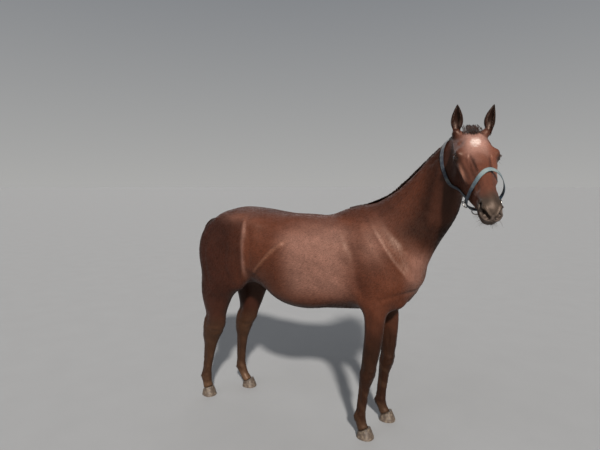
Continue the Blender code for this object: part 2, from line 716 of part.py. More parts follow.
def draped(name, coat, rows, thick):
    """A pad over the flesh: rows of guide points, let down onto it."""
    bm = bmesh.new()
    outer, inner = [], []
    for row in rows:
        high, low = [], []
        for k, guide in enumerate(row):
            spot, normal, _, _ = surface.find_nearest(guide)
            edge = 0.35 if k in (0, len(row) - 1) else 1.0
            high.append(spot + normal * thick * edge)
            low.append(spot - normal * 0.010)
        outer.append(high)
        inner.append(low)
    rings = [high + low[::-1] for high, low in zip(outer, inner)]
    loft(bm, rings)
    made = place(bm, name, coat)
    take_away(made, under_loose)
    return largest(made)


mane_rows = []
for x, z, shift, drop in spline(MANE, 14):
    crest = Vector((x, shift, z))
    mane_rows.append([crest + Vector((0, side, -down * drop)) for side, down in MANE_ACROSS])
mane = make_way(draped("mane", "black_hair", mane_rows, MANE_THICK), ears)
forelock_rows = [
    [on_head(u, 0.06, w * wide) for w in (-0.030, -0.012, 0.012, 0.030)]
    for u, wide in ((-0.028, 0.7), (0.0, 1.1), (0.03, 1.0), (0.065, 0.35))
]
forelock = make_way(draped("forelock", "black_hair", forelock_rows, FORELOCK_THICK), [*ears, mane])

tail_path = spline(TAIL, TAIL_RINGS)
bm = bmesh.new()
tail_rings = []
for i, (x, y, z, deep, wide) in enumerate(tail_path):
    ahead = Vector(tail_path[min(i + 1, TAIL_RINGS - 1)][:3]) - Vector(tail_path[max(i - 1, 0)][:3])
    across = Vector((0, 1, 0))
    normal = ahead.cross(across).normalized()
    turns = np.linspace(0, 2 * np.pi, 10, endpoint=False)
    middle = Vector((x, y, z))
    tail_rings.append([middle + across * wide * np.cos(a) + normal * deep * np.sin(a) for a in turns])
loft(bm, tail_rings)
tail = place(bm, "tail", "black_hair")
take_away(tail, under_loose)
largest(tail)


def eased(path, closed):
    """The path with its kinks eased."""
    ahead = path[1:] + (path[:1] if closed else path[-1:])
    behind = (path[-1:] if closed else path[:1]) + path[:-1]
    return [(a + b * 2 + c) / 4 for a, b, c in zip(behind, path, ahead)]


def over_skin(path, closed):
    """The path moved clear of the flesh; an open one is let down onto it."""
    for _ in range(4):
        moved = []
        for spot in eased(path, closed):
            on_skin, normal, _, off = surface.find_nearest(spot)
            buried = (spot - on_skin).dot(normal) < STRAP_CLEAR
            moved.append(on_skin + normal * STRAP_CLEAR if buried or not closed else spot)
        path = moved
    return path


def strap_facing(spot):
    """Away from the flesh where the strap lies on it, away from the head's middle elsewhere."""
    down = (spot - POLL).dot(DOWN_FACE) / HEAD_SCALE
    free = (spot - on_head(down, -0.120, 0.0)).normalized()
    _, normal, _, off = surface.find_nearest(spot)
    return normal.lerp(free, min(off / STRAP_WIDTH, 1.0))


def strap(name, path, closed):
    """A flat band whose inside faces the head."""
    path = over_skin([on_head(*p) for p in path], closed)
    count = len(path)
    facing = eased(eased([strap_facing(spot) for spot in path], closed), closed)
    bm = bmesh.new()
    rings = []
    for i, (spot, out) in enumerate(zip(path, facing)):
        before = path[i - 1] if closed or i else path[0]
        after = path[(i + 1) % count] if closed or i < count - 1 else path[-1]
        along = (after - before).normalized()
        out = (out - along * out.dot(along)).normalized()
        across = along.cross(out) * (STRAP_WIDTH / 2)
        outside = spot + out * STRAP_THICK
        rings.append([spot - across, spot + across, outside + across, outside - across])
    if closed:
        verts = [[bm.verts.new(p) for p in ring] for ring in rings]
        for low, high in zip(verts, verts[1:] + verts[:1]):
            for k in range(4):
                bm.faces.new((low[k], low[(k + 1) % 4], high[(k + 1) % 4], high[k]))
    else:
        loft(bm, rings)
    made = place(bm, name, "halter_webbing")
    take_away(made, under_loose)
    return largest(made)


def closed_spline(rows, count):
    rows = np.asarray(rows, float)
    around = np.vstack([rows[-1:], rows, rows[:2]])
    steps = np.linspace(0, len(rows), count, endpoint=False)
    index = steps.astype(int)
    t = (steps - index)[:, None]
    a, b, c, d = (around[index + k] for k in range(4))
    return 0.5 * (2 * b + (c - a) * t + (2 * a - 5 * b + 4 * c - d) * t**2 + (3 * b - a - 3 * c + d) * t**3)


def halter_ring(tag, u, v, w):
    """A ring standing just off the outside of the noseband."""
    spot = on_head(u, v, w)
    out = strap_facing(spot)
    out = (out - DOWN_FACE * out.dot(DOWN_FACE)).normalized()
    spot += out * (STRAP_THICK + RING_WIRE + 0.0012)
    along = DOWN_FACE.cross(out)
    bm = bmesh.new()
    verts = []
    for turn in np.linspace(0, 2 * np.pi, 12, endpoint=False):
        spoke = DOWN_FACE * np.cos(turn) + along * np.sin(turn)
        wire = np.linspace(0, 2 * np.pi, 5, endpoint=False)
        hub = spot + spoke * RING_RADIUS
        round_wire = [hub + (spoke * np.cos(a) + out * np.sin(a)) * RING_WIRE for a in wire]
        verts.append([bm.verts.new(p) for p in round_wire])
    for low, high in zip(verts, verts[1:] + verts[:1]):
        for k in range(5):
            bm.faces.new((low[k], low[(k + 1) % 5], high[(k + 1) % 5], high[k]))
    return place(bm, "halter_ring_" + tag, "halter_metal")


noseband = strap("halter_noseband", closed_spline(NOSEBAND, 30), True)
make_way(strap("halter_crown", spline(CROWN, 30), False), [noseband, mane, *ears])
for ring_place in RINGS:
    halter_ring(*ring_place)

# Set the horse on the middle of its box
corners = [made.matrix_world @ v.co for made in horse.objects for v in made.data.vertices]
low = Vector([min(c[k] for c in corners) for k in range(3)])
high = Vector([max(c[k] for c in corners) for k in range(3)])
shift = Vector((-(low.x + high.x) / 2, -(low.y + high.y) / 2, -low.z))
for made in horse.objects:
    made.data.transform(Matrix.Translation(shift))
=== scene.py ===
"""Looks of a standing horse with a loose halter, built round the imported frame.

One skin replaces the frame's flesh; eyes, hooves, hair, coat tufts and halter are pieces of
their own. Body places are given with X = 0 under the withers, head places down the face (u),
off the face (v) and to the horse's left (w), in metres.
"""

from itertools import chain

import bmesh
import bpy
import numpy as np
from mathutils import Matrix, Vector
from mathutils.bvhtree import BVHTree


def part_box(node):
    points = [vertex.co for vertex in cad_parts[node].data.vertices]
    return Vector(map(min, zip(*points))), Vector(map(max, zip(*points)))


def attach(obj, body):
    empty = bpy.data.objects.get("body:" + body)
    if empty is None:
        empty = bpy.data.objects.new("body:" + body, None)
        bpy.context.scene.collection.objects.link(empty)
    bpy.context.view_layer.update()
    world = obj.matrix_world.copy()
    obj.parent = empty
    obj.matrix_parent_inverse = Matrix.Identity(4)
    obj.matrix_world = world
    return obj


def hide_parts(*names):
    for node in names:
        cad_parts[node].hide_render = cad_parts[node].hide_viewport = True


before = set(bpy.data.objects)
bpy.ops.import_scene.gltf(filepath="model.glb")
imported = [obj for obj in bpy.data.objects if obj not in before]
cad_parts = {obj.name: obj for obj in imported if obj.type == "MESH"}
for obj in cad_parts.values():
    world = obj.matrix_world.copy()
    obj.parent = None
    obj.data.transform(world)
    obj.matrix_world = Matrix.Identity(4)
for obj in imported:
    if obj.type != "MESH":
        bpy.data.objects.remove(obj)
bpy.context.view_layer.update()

# The head's own axes
POLL = np.array((0.712, -0.13, 2.002))
HEAD_YAW = np.radians(-67.0)
HEAD_TILT = np.radians(46.0)
HEAD_SCALE = 1.02
HEAD_WIDEN = 1.07
UP = np.array((0.0, 0.0, 1.0))
FACE_AHEAD = np.array((np.cos(HEAD_YAW), np.sin(HEAD_YAW), 0.0))
DOWN_FACE = FACE_AHEAD * np.sin(HEAD_TILT) - UP * np.cos(HEAD_TILT)
OFF_FACE = FACE_AHEAD * np.cos(HEAD_TILT) + UP * np.sin(HEAD_TILT)
HEAD_LEFT = np.array((-np.sin(HEAD_YAW), np.cos(HEAD_YAW), 0.0))
EYE = (0.198, -0.05, 0.093)
EYE_RADIUS = 0.0215
NOSTRIL_DEPTH, NOSTRIL_WIDTH, NOSTRIL_REACH = 0.016, 0.0095, 0.08
NOSTRIL = ((0.546, -0.052, 0.047), (0.572, -0.057, 0.044), (0.594, -0.064, 0.034), (0.606, -0.074, 0.023))


def on_head(u, v, w):
    """A place on the head, in the body's own numbers."""
    return POLL + (DOWN_FACE * u + OFF_FACE * v + HEAD_LEFT * w * HEAD_WIDEN) * HEAD_SCALE


def at_eye(side, outwards=0.0):
    """The middle of the eyeball, or a place straight outwards of it."""
    return on_head(EYE[0], EYE[1], side * (EYE[2] + outwards))


def head_place(points):
    """The points' u, v and w on the head."""
    off = (points - POLL) / HEAD_SCALE
    return off @ DOWN_FACE, off @ OFF_FACE, off @ HEAD_LEFT / HEAD_WIDEN


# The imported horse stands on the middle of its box: this is where X = 0, Y = 0 went
right_eye = np.array(sum(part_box("eye_R"), Vector())) / 2
ORIGIN = (right_eye - at_eye(-1)) * (1, 1, 0)

FLESH = ("head", "neck", "trunk", "foreleg_L", "foreleg_R", "hindleg_L", "hindleg_R")
SKIN_VOXEL = 0.006
COAT_DEPTH = 0.0022
NECK_ROOT = (0.15, 0.0, 1.35)
FAR = 9.0  # stands for any distance past what is measured


def ramp(value, low, high):
    """0 up to low, 1 from high on and a smooth rise between; a fall where low is the greater."""
    t = np.clip((value - low) / (high - low), 0, 1)
    return t * t * (3 - 2 * t)


def bell(*offsets):
    """1 where every offset is 0, falling to almost 0 where one of them is 2."""
    return np.exp(-sum(offset**2 for offset in offsets))


# -------- mesh arrays


def pulled(items, key, width, kind=float):
    """One attribute of every item, a row each."""
    values = np.empty(len(items) * width, kind)
    items.foreach_get(key, values)
    return values.reshape(-1, width)


def read(mesh):
    """The mesh's points, normals and edges."""
    points, normals = pulled(mesh.vertices, "co", 3), pulled(mesh.vertex_normals, "vector", 3)
    return points, normals, pulled(mesh.edges, "vertices", 2, np.int32)


def write(mesh, points):
    mesh.vertices.foreach_set("co", np.asarray(points, np.float32).ravel())
    mesh.update()


def relaxed(points, edges, weight, rounds):
    """Each point drawn towards the middle of its neighbours."""
    count = len(points)
    a, b = edges.T
    degree = np.maximum(np.bincount(edges.ravel(), minlength=count), 1)
    for _ in range(rounds):
        mean = np.empty_like(points)
        for axis in range(3):
            column = points[:, axis]
            total = np.bincount(a, column[b], count) + np.bincount(b, column[a], count)
            mean[:, axis] = total / degree
        points = points + (mean - points) * (0.5 * weight)[:, None]
    return points


def new_object(name, data):
    made = bpy.data.objects.new(name, data)
    bpy.context.scene.collection.objects.link(made)
    return made


def dressed(made, material, slot_name, replaced=()):
    """Makes the object a smooth-shaded piece that rides on the horse's one body."""
    made.data.shade_smooth()
    made.data.materials.clear()
    made.data.materials.append(material)
    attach(made, "root")
    if replaced:
        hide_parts(*replaced)


def applied(made):
    """Works the object's modifiers into its mesh."""
    bpy.context.view_layer.update()
    evaluated = made.evaluated_get(bpy.context.evaluated_depsgraph_get())
    mesh = bpy.data.meshes.new_from_object(evaluated)
    made.modifiers.clear()
    made.data = mesh


def search_tree(points, mesh):
    return BVHTree.FromPolygons(points.tolist(), [tuple(face.vertices) for face in mesh.polygons])


def mesh_of(name, points, quads=(), triangles=()):
    """A mesh from arrays of points and faces."""
    quads, triangles = np.asarray(quads, np.int32), np.asarray(triangles, np.int32)
    corners = np.concatenate([quads.ravel(), triangles.ravel()])
    sizes = np.concatenate([np.full(len(quads), 4), np.full(len(triangles), 3)]).astype(np.int32)
    mesh = bpy.data.meshes.new(name)
    mesh.vertices.add(len(points))
    write(mesh, points)
    mesh.loops.add(len(corners))
    mesh.loops.foreach_set("vertex_index", corners.astype(np.int32))
    mesh.polygons.add(len(sizes))
    mesh.polygons.foreach_set("loop_start", (np.cumsum(sizes) - sizes).astype(np.int32))
    mesh.update(calc_edges=True)
    return mesh


def tube(rings, closed=False):
    """Points and faces of a tube over rings of equal count; an open one gets flat ends."""
    count, around = len(rings), len(rings[0])
    points = np.concatenate(rings)
    index = np.arange(count * around).reshape(count, around)
    ahead = np.roll(index, -1, axis=0) if closed else index[1:]
    here = index if closed else index[:-1]
    quads = np.stack([here, np.roll(here, -1, 1), np.roll(ahead, -1, 1), ahead], -1).reshape(-1, 4)
    if closed:
        return points, quads, np.empty((0, 3), np.int32)
    points = np.vstack([points, rings[0].mean(0), rings[-1].mean(0)])
    first, last = len(points) - 2, len(points) - 1
    bottom = [(index[0, (i + 1) % around], index[0, i], first) for i in range(around)]
    top = [(index[-1, i], index[-1, (i + 1) % around], last) for i in range(around)]
    return points, quads, np.array(bottom + top, np.int32)


def unit(vectors):
    return vectors / np.maximum(np.linalg.norm(vectors, axis=-1, keepdims=True), 1e-9)


def distance(points, spot):
    return np.linalg.norm(points - spot, axis=1)


def curve(line, steps):
    """Places on a smooth curve along the line, whose first and last only shape its ends."""
    index = np.minimum(steps.astype(int), len(line) - 4)
    t = (steps - index)[:, None]
    a, b, c, d = (line[index + k] for k in range(4))
    return 0.5 * (2 * b + (c - a) * t + (2 * a - 5 * b + 4 * c - d) * t**2 + (3 * b - a - 3 * c + d) * t**3)


def dense(line, count=14, closed=False):
    """Places between the line's own, on a smooth curve."""
    line = np.asarray(line, float)
    if closed:
        around = np.vstack([line[-1:], line, line[:2]])
        return curve(around, np.linspace(0, len(line), count, endpoint=False))
    if len(line) < 3:
        return line
    ends = np.vstack([2 * line[0] - line[1], line, 2 * line[-1] - line[-2]])
    return curve(ends, np.linspace(0, len(line) - 1, count))


# -------- colours and materials


def waves(points, size, seed):
    """A smooth pattern between about -1 and 1, with patches of the given size."""
    dice = np.random.default_rng(seed)
    total = np.zeros(len(points))
    for _ in range(7):
        way = dice.normal(size=3)
        way *= dice.uniform(0.6, 1.6) / (size * np.linalg.norm(way))
        total += np.sin(points @ way * np.pi + dice.uniform(0, 6.28))
    return total / 3.2


def regions(points):
    """How much each point belongs to the head, the neck and the legs."""
    x, _, z = points.T
    u, v, _ = head_place(points)
    head = ramp((u + 0.03) * 0.818 + (v + 0.02) * 0.576, 0.0, 0.05)
    head = head * ramp(z, 1.4, 1.46) * ramp(x, 0.45, 0.5)
    neck = ramp((points - NECK_ROOT) @ (0.51, -0.15, 0.84), 0.02, 0.2) * (1 - head)
    legs = ramp(z, 0.95, 0.7)
    return head, neck, legs


def lie(points, normals):
    """The way the coat lies: back and down the body, down the neck, legs and face."""
    x, _, z = points.T
    u, v, w = head_place(points)
    head, neck, legs = regions(points)
    shoulder = ramp(x, 0.0, 0.25)[:, None]
    haunch = ramp(x, -0.62, -0.95)[:, None]
    low = ramp(z, 1.45, 1.15)[:, None]
    way = np.array((-1.0, 0.0, -0.08)) + low * (0.35, 0.0, -0.3)
    way = way + shoulder * (0.45, 0.0, -0.85) + haunch * (0.5, 0.0, -0.75)
    way = way + neck[:, None] * (np.array((-0.6, 0.12, -0.8)) - way)
    way = way + legs[:, None] * (np.array((-0.1, 0.0, -1.0)) - way)
    back_of_cheek = ramp(v, -0.06, -0.16)[:, None]
    down_face = DOWN_FACE - back_of_cheek * OFF_FACE * 0.5
    outward = np.sign(w)[:, None] * HEAD_LEFT * ramp(u, 0.2, 0.05)[:, None] * 0.6
    way = way + head[:, None] * (down_face + outward - way)
    on_ear = ramp(ear_share(points), 0.06, 0.2)[:, None]
    way = way + on_ear * (UP + FACE_AHEAD * 0.1 - way)
    way = way + np.stack([waves(points, 0.12, seed) for seed in (11, 12, 13)], 1) * 0.12
    return unit(way - normals * np.sum(way * normals, axis=1)[:, None])


BODY = np.array((0.066, 0.0205, 0.0105))
# Painted sheen: the pale, glossy look of lit parts, laid into the coat's colour
PAINTED_SHEEN = np.array((0.176, 0.092, 0.071))
# Dark purple-brown of the hindquarters, partly its own tone and partly painted shade
DARK_RUMP_AND_SHADE = np.array((0.02, 0.006, 0.004))
SHADED = np.array((0.024, 0.008, 0.005))
LOWER_LEG = np.array((0.018, 0.0062, 0.0028))
DUST = np.array((0.105, 0.062, 0.036))
FACE = np.array((0.078, 0.027, 0.016))
# Pinkish forehead tone, partly its own colour and partly painted light on the face
FOREHEAD = np.array((0.235, 0.13, 0.105))
MUZZLE = np.array((0.022, 0.0195, 0.0155))
DARK_SKIN = np.array((0.022, 0.015, 0.013))
# Pale skin of the nostril rims and lips, with painted highlight
PALE_LIT_RIM = np.array((0.125, 0.1, 0.087))
WHITE = np.array((0.56, 0.46, 0.42))
STAR = (0.146, -0.01)
# The flank's fold, x and z
FOLD = ((-0.692, 1.061), (-0.605, 1.145), (-0.538, 1.213), (-0.465, 1.275), (-0.385, 1.308))


def into_nostril(side):
    return -unit(DOWN_FACE * 0.4 + OFF_FACE * 0.15 + HEAD_LEFT * side * 0.9)


def off_nostril(points, side):
    """Distance from the sheet between the nostril's mouth and its floor, within the reach."""
    mouth = np.array([on_head(u, v, side * w) for u, v, w in dense(NOSTRIL, 12)])
    spots = np.vstack([mouth + into_nostril(side) * NOSTRIL_DEPTH * deep for deep in (0, 0.5, 1)])
    found = np.full(len(points), FAR)
    near = np.flatnonzero(distance(points, spots.mean(0)) < NOSTRIL_REACH)
    found[near] = np.min([distance(points[near], spot) for spot in spots], axis=0)
    return found


# The tint functions give colours in the order that they are laid on, each with its share at the
# points.


def body_tints(points, normals, neck, broad):
    x, y, z = points.T
    # Painted sheen along the upper barrel
    up_side = ramp(z, 0.86, 1.05) * ramp(z + 0.03 * broad, 1.47, 1.3)
    yield PAINTED_SHEEN, 0.8 * ramp(x + 0.04 * broad, -0.56, -0.34) * ramp(x, 0.12, -0.1) * up_side
    # Painted highlight on the shoulder blade
    blade = bell((x - 0.16) / 0.1, (z - 1.31) / 0.13)
    yield PAINTED_SHEEN, 0.55 * blade * ramp(np.abs(y), 0.05, 0.12)
    # Painted light on the front of the chest
    breast = 0.65 * ramp(x, 0.33, 0.42) * ramp(z, 1.4, 1.2) * ramp(z, 0.92, 1.02)
    yield PAINTED_SHEEN, breast * (1 - neck)
    # Painted shade in the hollow behind the elbow
    behind_elbow = bell((x - 0.1) / 0.09, (z - 1.06) / 0.11)
    yield DARK_RUMP_AND_SHADE, 0.45 * behind_elbow
    # Darker rump and gaskin: partly the coat's own tone, partly painted shade on the less lit hindquarters
    yield DARK_RUMP_AND_SHADE, ramp(x, -0.84, -0.94) * ramp(z, 0.7, 1.0) * 0.7
    gaskin = ramp(x, -0.7, -0.85) * ramp(z, 1.0, 0.85)
    yield DARK_RUMP_AND_SHADE, gaskin * 0.75
    # Painted highlight over the croup
    croup = bell((x + 0.86) / 0.16) * ramp(z, 1.34, 1.46)
    yield PAINTED_SHEEN, croup * 0.3
    back = ramp(z + 0.05 * broad, 1.44, 1.52) * ramp(x, 0.2, 0.05)
    yield DARK_RUMP_AND_SHADE, back * 0.6
    yield SHADED, ramp(normals[:, 2], -0.4, -0.9) * 0.8
    # Painted shade below the flank fold and a painted highlight along it
    over_fold = (z - np.interp(x, *np.array(FOLD).T)) * 0.72
    at_fold = ramp(x, -0.72, -0.67) * ramp(x, -0.36, -0.54) * ramp(z, 0.98, 1.12)
    yield BODY * 0.85, at_fold * ramp(over_fold, 0.0, -0.022) * ramp(over_fold, -0.2, -0.08) * 0.8
    yield PAINTED_SHEEN * (1.1, 1.0, 0.8), at_fold * bell((over_fold - 0.003) / 0.012) * 0.42
    # Dark hindquarters begin at the thigh's front line, partly painted shade; a painted highlight runs
    # along that line
    ahead_of_thigh = x + 0.776 + 0.25 * (z - 1.25) ** 2 * (z < 1.25)
    yield DARK_RUMP_AND_SHADE, ramp(ahead_of_thigh, 0.0, -0.03) * ramp(z, 0.7, 1.0) * ramp(z, 1.46, 1.38) * 0.68
    at_thigh = ramp(z, 0.98, 1.1) * ramp(z, 1.43, 1.38)
    yield PAINTED_SHEEN, at_thigh * bell(ahead_of_thigh / 0.014) * 0.65
    between_legs = ramp(np.abs(y), 0.1, 0.02) * ramp(z, 1.1, 0.95)
    yield SHADED, between_legs * 0.5
    yield DARK_RUMP_AND_SHADE, neck * ramp(normals[:, 2], 0.05, 0.6) * 0.5


def leg_tints(points, broad, fine):
    x, _, z = points.T
    yield LOWER_LEG, ramp(z + 0.05 * broad, 0.78, 0.52)
    yield DUST, ramp(z + 0.02 * fine, 0.15, 0.07) * 0.5
    yield LOWER_LEG * 0.7, ramp(x, -0.2, 0.0) * ramp(z, 0.95, 0.75) * 0.45
    yield DUST, ramp(fine + broad * 0.5, 0.3, 1.0) * ramp(z, 0.6, 0.3) * 0.12
    yield DUST, ramp(x, -0.5, -0.7) * ramp(z, 0.72, 0.55) * 0.14


def neck_tints(points, neck, broad):
    throat = (points - NECK_ROOT) @ (0.84, 0.0, -0.51)
    yield SHADED * 0.5, neck * ramp(throat + 0.02 * broad, 0.03, 0.17) * 0.85
    yield SHADED * 0.5, neck * ramp(points[:, 0] + 0.01 * broad, 0.41, 0.5) * 0.6


def face_tints(points, head, fine):
    u, v, w = head_place(points)
    off_middle = np.abs(w)
    yield FACE, head
    # Paler forehead: partly its own pinkish tone, partly painted light on the lit front of the face
    brow = ramp(v, -0.07, -0.01) * ramp(u + 0.02 * fine, 0.3, 0.13) * ramp(off_middle, 0.085, 0.03)
    yield FOREHEAD, head * brow * ramp(u, 0.005, 0.09)
    cheek = ramp(off_middle, 0.045, 0.085) * ramp(u, 0.42, 0.3) * ramp(v, -0.02, -0.09)
    yield SHADED * 0.7, head * cheek * 0.8
    yield SHADED * 0.7, head * ramp(off_middle, 0.05, 0.085) * ramp(u, 0.06, 0.02) * 0.6
    # Painted highlight along the facial crest
    crest = bell((u - 0.3) / 0.05, (v + 0.074 + (u - 0.3) * 0.2) / 0.014)
    yield FOREHEAD * (1.4, 1.2, 1.0), head * crest * 0.85
    # Painted light: the face's left side below the eye, made paler
    yield FACE * 1.7, head * ramp(w, 0.025, 0.055) * ramp(u, 0.1, 0.18) * ramp(u, 0.42, 0.34) * 0.6
    yield MUZZLE, head * ramp(u + 0.012 * fine, 0.46, 0.545) * 0.9
    under_jaw = head * ramp(v, -0.13, -0.21) * ramp(u, 0.5, 0.4)
    yield SHADED, under_jaw * 0.5
    for side in (-1, 1):
        from_eye = distance(points, at_eye(side, 0.01))
        yield SHADED, ramp(from_eye, 0.06, 0.028) * 0.65
        yield DARK_SKIN, ramp(from_eye, 0.033, 0.021) * 0.92
        from_nostril = off_nostril(points, side)
        # Pale nostril rims: partly their own skin, partly painted highlight
        rim_share = ramp(v, -0.05, -0.075) * 0.45
        yield PALE_LIT_RIM, head * bell((from_nostril - 0.018) / 0.0036) * rim_share
        # Inside the nostril: dark skin and painted shade
        yield DARK_SKIN * 0.25, ramp(from_nostril, 0.015, 0.0105)
    # Pale lips: partly their own skin, partly painted highlight
    lips = bell((v + 0.112) / 0.02) * ramp(u, 0.56, 0.6)
    yield PALE_LIT_RIM, head * lips * 0.55
    beside_nose = head * bell((off_middle - 0.056 + u * 0.06) / 0.009) * ramp(u, 0.235, 0.27)
    yield SHADED, beside_nose * ramp(u, 0.375, 0.33) * ramp(v, -0.035, -0.02) * 0.65


def ear_tints(points, normals):
    up_ear = ear_share(points)
    yield SHADED * 0.4, ramp(up_ear, 0.0, 0.2) * 0.9
    in_ear = ramp(up_ear, 0.05, 0.15) * ramp(normals @ FACE_AHEAD, 0.1, 0.6)
    yield FACE * 0.5, in_ear * ramp(up_ear, 0.45, 0.1) * 0.6
    yield DARK_SKIN, ramp(up_ear, 0.75, 0.95) * 0.8


def star_tints(points, head):
    """The ragged white star, and a paler patch round it that is partly painted light."""
    u, v, w = head_place(points)
    down = (u - STAR[0] + 0.35 * (w - STAR[1])) / 0.028
    aside = (w - STAR[1]) / 0.021
    # Paler patch round the star: partly paler hair, partly painted light on the lit forehead
    on_front = head * ramp(v, -0.04, 0.0)
    yield FOREHEAD * 1.5, on_front * np.exp(-(down**2 + aside**2) / 5.0) * 0.7
    ragged = down**2 + aside**2 + 0.7 * waves(points, 0.012, 23) + 0.45 * waves(points, 0.004, 24)
    yield WHITE, on_front * ramp(ragged, 2.6, -0.5) * 0.95


def coat_colour(points, normals):
    """The coat's colour at places on the skin, with painted shade and painted light laid in."""
    head, neck, _ = regions(points)
    broad, fine = waves(points, 0.22, 21), waves(points, 0.045, 22)
    colour = np.tile(BODY, (len(points), 1))
    for other, weight in chain(
        body_tints(points, normals, neck, broad),
        leg_tints(points, broad, fine),
        neck_tints(points, neck, broad),
        face_tints(points, head, fine),
        ear_tints(points, normals),
        star_tints(points, head),
    ):
        colour += (other - colour) * np.clip(weight, 0, 1)[:, None]
    return colour * (1 + 0.1 * broad + 0.08 * fine)[:, None]


def paint(mesh, colours, name="coat"):
    shades = mesh.color_attributes.new(name, "FLOAT_COLOR", "POINT")
    shades.data.foreach_set("color", np.c_[colours, np.ones(len(colours))].astype(np.float32).ravel())


def node(tree, kind, links=(), values=(), **settings):
    made = tree.nodes.new(kind)
    for key, value in settings.items():
        setattr(made, key, value)
    for key, value in dict(values).items():
        made.inputs[key].default_value = value
    for key, socket in dict(links).items():
        tree.links.new(socket, made.inputs[key])
    return made


def new_material(name, **constants):
    """A material, its nodes and its surface shader with the given constants."""
    material = bpy.data.materials.new(name)
    material.use_nodes = True
    tree = material.node_tree
    shader = tree.nodes["Principled BSDF"]
    for key, value in constants.items():
        shader.inputs[key.replace("_", " ")].default_value = value
    return material, tree, shader


def blended(tree, factor, a, b, mode="MIX"):
    """The colour between a and b; each is a socket or a plain value."""
    mix = node(tree, "ShaderNodeMix", data_type="RGBA", blend_type=mode)
    for index, value in ((0, factor), (6, a), (7, b)):
        if isinstance(value, bpy.types.NodeSocket):
            tree.links.new(value, mix.inputs[index])
        else:
            mix.inputs[index].default_value = value
    return mix.outputs[2]


def ranged(tree, value, low, high, to_low=0.0, to_high=1.0):
    limits = {"From Min": low, "From Max": high, "To Min": to_low, "To Max": to_high}
    return node(tree, "ShaderNodeMapRange", {"Value": value}, limits).outputs["Result"]


def own_place(tree):
    return node(tree, "ShaderNodeTexCoord").outputs["Object"]


def painted(tree, name="coat"):
    return node(tree, "ShaderNodeAttribute", attribute_name=name).outputs["Color"]


def noise(tree, place, scale, detail):
    values = {"Scale": scale, "Detail": detail}
    return node(tree, "ShaderNodeTexNoise", {"Vector": place}, values).outputs["Fac"]


def streaks(tree, place, turn, long, thin):
    """Noise drawn out along one way."""
    values = {"Rotation": turn, "Scale": (long, thin, thin)}
    mapped = node(tree, "ShaderNodeMapping", {"Vector": place}, values, vector_type="TEXTURE")
    return noise(tree, mapped.outputs[0], 1.0, 3.0)


def times(tree, colour, shade):
    return blended(tree, 1.0, colour, (*shade, 1.0), "MULTIPLY")


def darkened(tree, colour, shade, value, low, high):
    """The colour, multiplied by the shade where the value is low."""
    return blended(tree, ranged(tree, value, low, high), times(tree, colour, shade), colour)


def streaked(tree, streak, dark, light):
    """The painted colour from a darker to a lighter shade of itself, as the streaks go."""
    coat = painted(tree)
    share = ranged(tree, streak, 0.32, 0.68)
    return blended(tree, share, times(tree, coat, dark), times(tree, coat, light))


def surfaced(tree, shader, colour, rough, height, strength, depth):
    """Gives the shader its colour, its roughness and bumps of a strength and a depth."""
    links, values = {"Height": height}, {"Strength": strength, "Distance": depth}
    bump = node(tree, "ShaderNodeBump", links, values).outputs[0]
    for key, socket in (("Base Color", colour), ("Roughness", rough), ("Normal", bump)):
        tree.links.new(socket, shader.inputs[key])


HEAD_AXES = np.array((DOWN_FACE, HEAD_LEFT, np.cross(DOWN_FACE, HEAD_LEFT)))
HEAD_TURN = tuple(Matrix(HEAD_AXES.T.tolist()).to_euler())
BODY_TURN, NECK_TURN, LEG_TURN = ((0.0, np.radians(angle), 0.0) for angle in (-19, -59, -90))


def coat_material(name, strength, shine):
    """Short glossy hair: painted colours broken by streaks along its lie."""
    material, tree, shader = new_material(
        name, Roughness=0.45, Specular_IOR_Level=shine, Specular_Tint=(0.92, 0.66, 0.52, 1.0),
        Sheen_Weight=0.02, Sheen_Roughness=0.35, Sheen_Tint=(0.95, 0.8, 0.72, 1.0),
        Coat_Weight=0.02, Coat_Roughness=0.35,
    )
    place = own_place(tree)
    share = node(tree, "ShaderNodeSeparateColor", {"Color": painted(tree, "region")}).outputs
    streak = streaks(tree, place, BODY_TURN, 0.03, 0.002)
    for turn, mask, long, thin in (
        (NECK_TURN, share[1], 0.026, 0.002),
        (LEG_TURN, share[2], 0.022, 0.0016),
        (HEAD_TURN, share[0], 0.012, 0.0012),
    ):
        mix = node(tree, "ShaderNodeMix", data_type="FLOAT")
        for index, socket in ((0, mask), (2, streak), (3, streaks(tree, place, turn, long, thin))):
            tree.links.new(socket, mix.inputs[index])
        streak = mix.outputs[0]
    coat = streaked(tree, streak, (0.6, 0.55, 0.52), (1.38, 1.34, 1.3))
    patch = ranged(tree, noise(tree, place, 38.0, 4.0), 0.35, 0.7, 0.0, 0.35)
    coat = blended(tree, patch, coat, times(tree, coat, (0.72, 0.68, 0.66)))
    rough = ranged(tree, streak, 0.3, 0.7, 0.5, 0.36)
    surfaced(tree, shader, coat, rough, streak, strength, 0.0012)
    return material


# -------- skin

CUT_CLOSER = 0.0005  # swells each solid, so that the cuts between them close
LID_THICK = 0.0065  # over the eyeball, before the skin is drawn in


def flesh_mesh():
    """The frame's flesh with its eye sockets filled, in the body's own numbers."""
    bm = bmesh.new()
    for name in FLESH:
        bm.from_mesh(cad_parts[name].data)
    bmesh.ops.remove_doubles(bm, verts=bm.verts, dist=1e-5)
    bm.normal_update()
    for vertex in bm.verts:
        vertex.co += vertex.normal * CUT_CLOSER - Vector(ORIGIN)
    for side in (-1, 1):
        for outwards, radius in ((0.0, EYE_RADIUS + LID_THICK), (-0.012, EYE_RADIUS)):
            eye_at = Matrix.Translation(at_eye(side, outwards))
            bmesh.ops.create_icosphere(bm, subdivisions=3, radius=radius, matrix=eye_at)
    mesh = bpy.data.meshes.new("skin")
    bm.to_mesh(mesh)
    bm.free()
    return mesh


